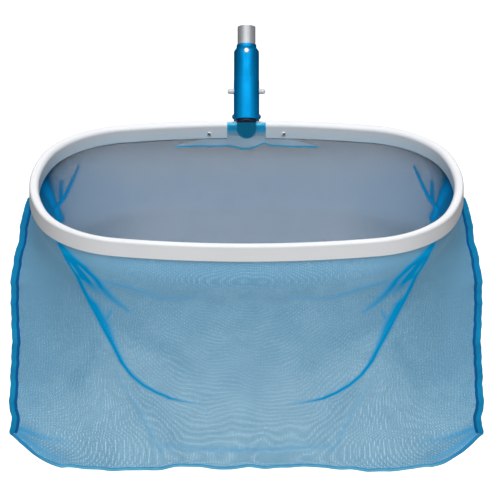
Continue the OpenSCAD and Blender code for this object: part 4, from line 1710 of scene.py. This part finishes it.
    def waves(self, x: Array, z: Array, panel: Panel) -> Array:
        """Soft waves of the hanging net: a sum of sines whose crests run mostly down the panel.

        Args:
            x: Distance from the middle plane.
            z: Heights.
            panel: Which panel.

        Returns:
            The waves, about from -1 to 1.
        """
        phase = 0.0 if panel is Panel.FRONT else self.back_phase
        lengths = np.array([0.118, 0.076, 0.049, 0.034, 0.155])
        tilts = np.array([9.0, -14.0, 21.0, -30.0, 26.0])
        sizes = np.array([0.45, 0.3, 0.16, 0.09, 0.3])
        starts = np.array([0.3, 1.9, 4.1, 2.7, 5.2]) + phase
        turns = FULL_TURN * x[..., None] / lengths + tilts * z[..., None] + starts
        return np.sum(sizes * np.sin(turns), axis=-1)

    def surface(self, panel: Panel) -> Grid:
        """One panel as a sheet.

        Waves and creases move the smooth panel along its facing, less where the two panels come
        together. Near the seams it follows their drift. Of several creases the largest mark counts,
        and their rises are added. Its cloth coordinates are the length across from the middle and the
        length down from the hem, each times the panel's count of threads. The shade mark is that of
        the shades, and grows towards the side seams and the bottom one.

        Args:
            panel: Which panel.

        Returns:
            The sheet.
        """
        shape = self.shape
        even = np.linspace(-1, 1, self.columns)
        across_even = np.sign(even) * (1 - (1 - np.abs(even)) ** self.column_crowd)
        down = np.linspace(0, 1, self.rows) ** self.row_crowd
        heights = shape.panel_top + (shape.bottom - shape.panel_top) * down
        across, z = np.meshgrid(across_even, heights)
        points = shape.smooth_panel(across, z)
        x, y = points[..., 0], points[..., 1]
        cloth_across = self._run(points, axis=1)
        cloth_across -= cloth_across[:, self.columns // 2 : self.columns // 2 + 1]
        cloth_down = self._run(points * np.array([0.0, 1.0, 1.0]), axis=0)
        hung = smooth_step((self.hung_from - z) / self.hung_run)
        rise = self.swell * self.waves(x, z, panel) * np.clip(y / self.room, 0, 1) * hung
        below_hem = smooth_step((shape.panel_top - z - self.held_gap) / self.held_room)
        held = np.clip(y / self.held_room, 0, 1) * below_hem
        in_front = panel is Panel.FRONT
        dark, lifts = self._creased(self.front_folds if in_front else self.back_folds, x, z)
        shaded, more_lifts = self._creased(self.front_shades if in_front else (), x, z)
        for lift in lifts + more_lifts:
            rise = rise + lift * held
        side_x, side_y = shape.side_drift(z)
        foot_y, foot_z = shape.foot_drift(x)
        near_side = smooth_step(1 - (1 - np.abs(across)) / self.side_run)
        near_foot = shape.near_foot(z)
        points[..., 0] += side_x * near_side * np.sign(across)
        points[..., 1] += rise
        points[..., 1] *= panel.value
        points[..., 1] += side_y * near_side * (1 - near_foot) + foot_y * near_foot
        points[..., 2] += foot_z * near_foot
        count = self.front_count if in_front else self.back_count
        cloth = np.stack([cloth_across, cloth_down], axis=-1) * np.array(count)
        aside = smooth_step((np.abs(across) - self.side_shade_from) / self.side_shade_run)
        low = smooth_step(1 - (z - shape.bottom) / self.foot_shade_run)
        shade = self.side_shade * aside + self.foot_shade * low + shaded
        marks = {"fold": dark, "close": dark, "shade": shade}
        return Grid(points + TOP, cloth=cloth, marks=marks, flipped=in_front)

    @staticmethod
    def _creased(lines: tuple[FoldLine, ...], x: Array, z: Array) -> tuple[Array, list[Array]]:
        """What several fold lines do to a panel.

        Args:
            lines: The fold lines.
            x: Distance from the middle plane.
            z: Heights.

        Returns:
            The largest mark at each point, and each line's rise.
        """
        found = [line.strength(np.abs(x), z) for line in lines]
        mark = np.zeros_like(x)
        for one, _ in found:
            mark = np.maximum(mark, one)
        return mark, [lift for _, lift in found]

    @staticmethod
    def _run(points: Array, axis: int) -> Array:
        """The length run through along one direction of a grid.

        Args:
            points: The grid.
            axis: The direction.

        Returns:
            The length at each point, from 0 at the first line.
        """
        steps = np.linalg.norm(np.diff(points, axis=axis), axis=-1)
        pad = [(0, 0), (0, 0)]
        pad[axis] = (1, 0)
        return np.cumsum(np.pad(steps, pad), axis=axis)

    def build(
        self, finishes: FinishSet, front_pieces: list[Piece], back_pieces: list[Piece]
    ) -> None:
        """Builds and dresses both panels.

        Args:
            finishes: The finishes.
            front_pieces: The hems that go with the front panel; not used.
            back_pieces: The bindings that go with the back panel; not used.
        """
        for panel, side, hems in ((Panel.FRONT, "front", front_pieces), (Panel.BACK, "back", back_pieces)):
            name, node = f"net_panel_{side}", f"net_{side}"
            piece = add_piece(self.surface(panel), name, "net_blue", finishes, (node,))
            # The inner faces take the darker copy of the net: painted shade inside the bag.
            piece.data.materials.append(finishes.shaded_inner_blue)
            wall = piece.modifiers.new("thread_thickness", "SOLIDIFY")
            wall.thickness = self.thread
            wall.offset = 0.0
            wall.material_offset = 1


@dataclass
class SideBinding:
    """Folded binding on a side seam: a soft outer band and a thicker sewn edge on its inside."""

    shape: NetShape
    proud: float = 0.0009
    width: float = 0.0086
    half_thick: float = 0.0013
    bead: float = 0.0021
    bead_at: float = 0.0068
    bead_half: float = 0.0013
    outer_round: float = 0.0012
    inner_round: float = 0.0016
    thick_waves: Waves = ((0.07, 0.019, 1.0), (0.05, 0.0071, 0.0))
    past_corner: float = 0.0015
    top: float = -0.0197
    top_share: float = 0.65
    top_run: float = 0.02
    section_points: int = 21
    stations: int = 330

    def section(self) -> Array:
        """Its section: in from the seam's edge and to the sides.

        The half thickness is a rounded end, a flat band and a bead at the inner edge.

        Returns:
            The closed outline.
        """
        share = np.linspace(0, 1, self.section_points)
        inward = -self.proud + (self.width + self.proud) * (1 - np.cos(math.pi * share)) / 2
        outer = ((self.outer_round - (inward + self.proud)) / self.outer_round).clip(0)
        inner = (((inward - self.width) + self.inner_round) / self.inner_round).clip(0)
        end = np.sqrt(np.clip(1 - outer**2, 0, 1))
        back = np.sqrt(np.clip(1 - inner**2, 0, 1))
        swell = np.exp(-(((inward - self.bead_at) / self.bead_half) ** 2))
        half = (self.half_thick + (self.bead - self.half_thick) * swell) * end * back
        one = np.stack([inward, half], axis=-1)
        other = np.stack([inward, -half], axis=-1)[-2:0:-1]
        return np.concatenate([one, other])

    def surface(self, side: int) -> Grid:
        """The section carried down the side seam.

        The path is the panels' edge with the seam's drift, and the section lies square to it in the
        bag's plane. The band's thickness and width vary a little along it.

        Args:
            side: 1 for the right seam and -1 for the left.

        Returns:
            The binding as a closed surface.
        """
        shape = self.shape
        z = np.linspace(self.top, shape.corner_top - self.past_corner, self.stations)
        edge = shape.smooth_panel(np.ones_like(z), z)
        drift_x, drift_y = shape.side_drift(z)
        line = np.stack([edge[:, 0] + drift_x, z], axis=-1)
        way = unit(np.gradient(line, axis=0))
        inward = np.stack([way[:, 1], -way[:, 0]], axis=-1)
        section = self.section()
        run = lengths_along(line)
        waves = tuple((high, long, phase * side) for high, long, phase in self.thick_waves)
        full = 1 + ripples(run, waves)
        slim = smooth_step(run / self.top_run) * (1 - self.top_share) + self.top_share
        across = section[None, :, 0] * slim[:, None]
        x = line[:, :1] + inward[:, :1] * across
        up = line[:, 1:] + inward[:, 1:] * across
        y = drift_y[:, None] + section[None, :, 1] * full[:, None]
        points = np.stack([side * x, y, up], axis=-1) + TOP
        reach = np.concatenate([section[:, 0], section[:1, 0]]) + self.proud
        cloth = carried_grid(run, reach)
        return Grid(points, cloth=cloth, closed_columns=True, capped=True, flipped=side > 0)

    def build(self, finishes: FinishSet) -> list[Piece]:
        """Builds and dresses both bindings.

        Args:
            finishes: The finishes.

        Returns:
            The two pieces.
        """
        return [
            add_piece(self.surface(-1), "side_binding_left", "binding_blue", finishes, ("seam_left",)),
            add_piece(self.surface(1), "side_binding_right", "binding_blue", finishes, ("seam_right",)),
        ]


@dataclass
class BottomHem:
    """Narrow folded hem along both cut-off corners and the bag's lowest edge."""

    shape: NetShape
    proud: float = 0.0009
    width: float = 0.0036
    half_thick: float = 0.0012
    squareness: float = 0.6
    fold_thick: float = 1.1
    fold_taper: float = 0.25
    past_corner: float = 0.0006
    thick_waves: Waves = ((0.08, 0.013, 0.0),)
    corner_from: float = 0.205
    corner_run: float = 0.04
    corner_points: int = 200
    flat_points: int = 500
    section_points: int = 20
    stations: int = 620

    def path(self) -> tuple[Array, Array]:
        """The bottom edge from the right corner to the left, and the way into the bag at each point.

        Returns:
            Points as x, y and z, and unit vectors in the x-z plane.
        """
        shape = self.shape
        z = np.linspace(shape.corner_top - self.past_corner, shape.bottom, self.corner_points)
        x = shape.half_width(z) + shape.side_drift(z)[0]
        flat = np.linspace(x[-1], -x[-1], self.flat_points)[1:-1]
        right = np.stack([x, z], axis=-1)
        left = right[::-1] * np.array([-1, 1])
        low = np.stack([flat, np.full_like(flat, shape.bottom)], axis=-1)
        line = np.concatenate([right, low, left])
        run = lengths_along(line)
        even = np.linspace(0, run[-1], self.stations)
        line = np.stack([np.interp(even, run, line[:, 0]), np.interp(even, run, line[:, 1])], axis=-1)
        way = unit(np.gradient(line, axis=0))
        foot_y, foot_z = shape.foot_drift(line[:, 0])
        near = shape.near_foot(line[:, 1])
        side_y = shape.side_drift(line[:, 1])[1] * (1 - near)
        points = np.stack([line[:, 0], foot_y * near + side_y, line[:, 1] + foot_z * near], axis=-1)
        return points, np.stack([way[:, 1], -way[:, 0]], axis=-1)

    def surface(self) -> Grid:
        """A flat rounded section carried along the edge, a little thicker at the fold.

        The fold mark grows to 0.9 on the cut-off corners, by a smooth step of the distance from the
        middle plane.

        Returns:
            The hem as a closed surface.
        """
        points, inward = self.path()
        angle = np.linspace(0, FULL_TURN, self.section_points, endpoint=False)
        middle, half = (self.width - self.proud) / 2, (self.width + self.proud) / 2
        reach = middle - half * np.cos(angle)
        thick = self.half_thick * np.sign(np.sin(angle)) * np.abs(np.sin(angle)) ** self.squareness
        thick = thick * (self.fold_thick - self.fold_taper * (reach - middle) / half)
        run = lengths_along(points)
        full = 1 + ripples(run, self.thick_waves)
        grid = np.stack(
            [
                points[:, :1] + inward[:, :1] * reach[None, :],
                points[:, 1:2] + thick[None, :] * full[:, None],
                points[:, 2:] + inward[:, 1:] * reach[None, :],
            ],
            axis=-1,
        )
        around = np.concatenate([reach, reach[:1]]) + self.proud
        cloth = carried_grid(run, around)
        corner = smooth_step((np.abs(points[:, 0]) - self.corner_from) / self.corner_run) * 0.9
        marks = {"fold": np.broadcast_to(corner[:, None], grid.shape[:2])}
        return Grid(grid + TOP, cloth=cloth, marks=marks, closed_columns=True, capped=True)

    def build(self, finishes: FinishSet) -> Piece:
        """Builds and dresses the hem.

        Args:
            finishes: The finishes.

        Returns:
            The piece.
        """
        return add_piece(self.surface(), "bottom_hem_tape", "hem_blue", finishes, ("bottom_hem",))


# ---------- Stage ----------


@dataclass
class Stage:
    """Pale floor, soft lamps and the camera, which looks a little below the frame's top centre."""

    floor_height: float = -1.005
    floor_tone: Colour = (0.7, 0.7, 0.7)
    floor_glow: float = 0.8
    surround_light: float = 0.15
    card_tone: Colour = (0.1, 0.11, 0.13)
    distance: float = 5.6
    elevation: float = math.radians(26)
    down_tilt: float = math.atan(65.4 / 5070)
    focal: float = 370.2
    aim: Point = (0.0, -0.18, -0.15)
    floor_half: float = 60.0
    card_top: float = 2.2
    card_plan: Line = ((0.42, 4.0), (0.42, 0.3), (0.9, -0.1), (1.5, -1.0))
    lamps: tuple[tuple[str, Point, Pair, float], ...] = (
        ("top_lamp", (0.0, -0.2, 2.6), (3.0, 3.0), 75.0),
        ("high_lamp", (0.0, -2.5, 2.5), (1.8, 1.6), 58.0),
        ("low_lamp", (0.0, -2.3, -0.78), (1.6, 0.36), 5.0),
        ("back_lamp", (0.0, 3.2, 0.9), (1.8, 1.2), 10.0),
    )

    def floor(self) -> None:
        """A wide pale floor: white to the eye and in reflections, with the object's shadow kept."""
        n = Finish("pale_floor")
        n.set(Base_Color=self.floor_tone, Roughness=0.9)
        glow = n.add("ShaderNodeEmission")
        n.feed(glow.inputs["Strength"], n.times(n.seen(), self.floor_glow))
        both = n.add("ShaderNodeAddShader")
        n.feed(both.inputs[0], n.shader.outputs["BSDF"])
        n.feed(both.inputs[1], glow.outputs["Emission"])
        n.feed(n.output.inputs["Surface"], both.outputs["Shader"])
        half = self.floor_half
        flat = np.array([[(-half, -half), (half, -half)], [(-half, half), (half, half)]])
        points = np.concatenate([flat, np.full((2, 2, 1), self.floor_height)], axis=-1)
        piece = Grid(points).build("floor")
        piece.data.materials.append(n.material)

    def world(self) -> None:
        """A pale surround: white to the eye and in reflections, and a plain grey as light."""
        world = bpy.data.worlds.new("studio")
        bpy.context.scene.world = world
        world.use_nodes = True
        n = Nodes(world.node_tree)
        back = next(node for node in n.tree.nodes if node.type == "BACKGROUND")
        n.feed(back.inputs["Color"], (1.0, 1.0, 1.0))
        n.feed(back.inputs["Strength"], n.ramp(n.seen(), 0.0, 1.0, (self.surround_light, 1.0)))

    def lamp(self, name: str, place: Point, size: Pair, power: float) -> None:
        """A soft lamp that points at the frame.

        Args:
            name: The lamp's name.
            place: Where it hangs.
            size: Its width and height.
            power: Its power in watts.
        """
        data = bpy.data.lights.new(name, "AREA")
        data.shape = "RECTANGLE"
        data.size, data.size_y = size
        data.energy = power
        lamp = bpy.data.objects.new(name, data)
        bpy.context.scene.collection.objects.link(lamp)
        lamp.location = place
        x, y, z = np.array(place) - np.array(self.aim)
        lamp.rotation_euler = (math.atan2(math.hypot(x, y), z), 0.0, math.atan2(x, -y))

    def flags(self) -> None:
        """Two dark upright cards beside the object, which only reflections see, to shape the metal."""
        n = Finish("dark_card")
        glow = n.add("ShaderNodeEmission")
        n.feed(glow.inputs["Color"], self.card_tone)
        n.feed(n.output.inputs["Surface"], glow.outputs["Emission"])
        plan = np.array(self.card_plan)
        for side, name in ((-1, "card_left"), (1, "card_right")):
            foot = plan * np.array([side, 1.0])
            low = np.concatenate([foot, np.full((len(plan), 1), self.floor_height)], axis=-1)
            high = np.concatenate([foot, np.full((len(plan), 1), self.card_top)], axis=-1)
            piece = Grid(np.stack([low, high])).build(name)
            piece.data.materials.append(n.material)
            piece.visible_camera = False
            piece.visible_diffuse = False
            piece.visible_shadow = False
            piece.visible_transmission = False

    def camera(self) -> None:
        """The camera, placed by its elevation and distance from the frame's top centre."""
        data = bpy.data.cameras.new("camera")
        data.sensor_width = 36.0
        data.lens = self.focal
        data.clip_end = 200.0
        camera = bpy.data.objects.new("camera", data)
        bpy.context.scene.collection.objects.link(camera)
        back = np.array([0.0, -math.cos(self.elevation), math.sin(self.elevation)])
        camera.location = TOP + self.distance * back
        camera.rotation_euler = (math.pi / 2 - self.elevation - self.down_tilt, 0.0, 0.0)
        bpy.context.scene.camera = camera

    def build(self) -> None:
        """Sets the whole stage."""
        self.camera()
        self.floor()
        self.world()
        for lamp in self.lamps:
            self.lamp(*lamp)
        self.flags()
        bpy.context.scene.view_settings.view_transform = "Standard"


def main() -> None:
    """Builds the stage and then the skimmer, piece by piece."""
    logging.basicConfig(level=logging.INFO, format="%(name)s: %(message)s")
    Stage().build()
    finishes = FinishSet.make()
    HandleParts().dress(finishes)
    ClipSpring().build(finishes)
    Rail().build(finishes)
    shape = NetShape()
    hem = MouthHem().build(finishes)
    foot = BottomHem(shape).build(finishes)
    bindings = SideBinding(shape).build(finishes)
    Casing().build(finishes)
    NetBag(shape).build(finishes, [hem, foot], bindings)


if __name__ == "__main__":
    main()
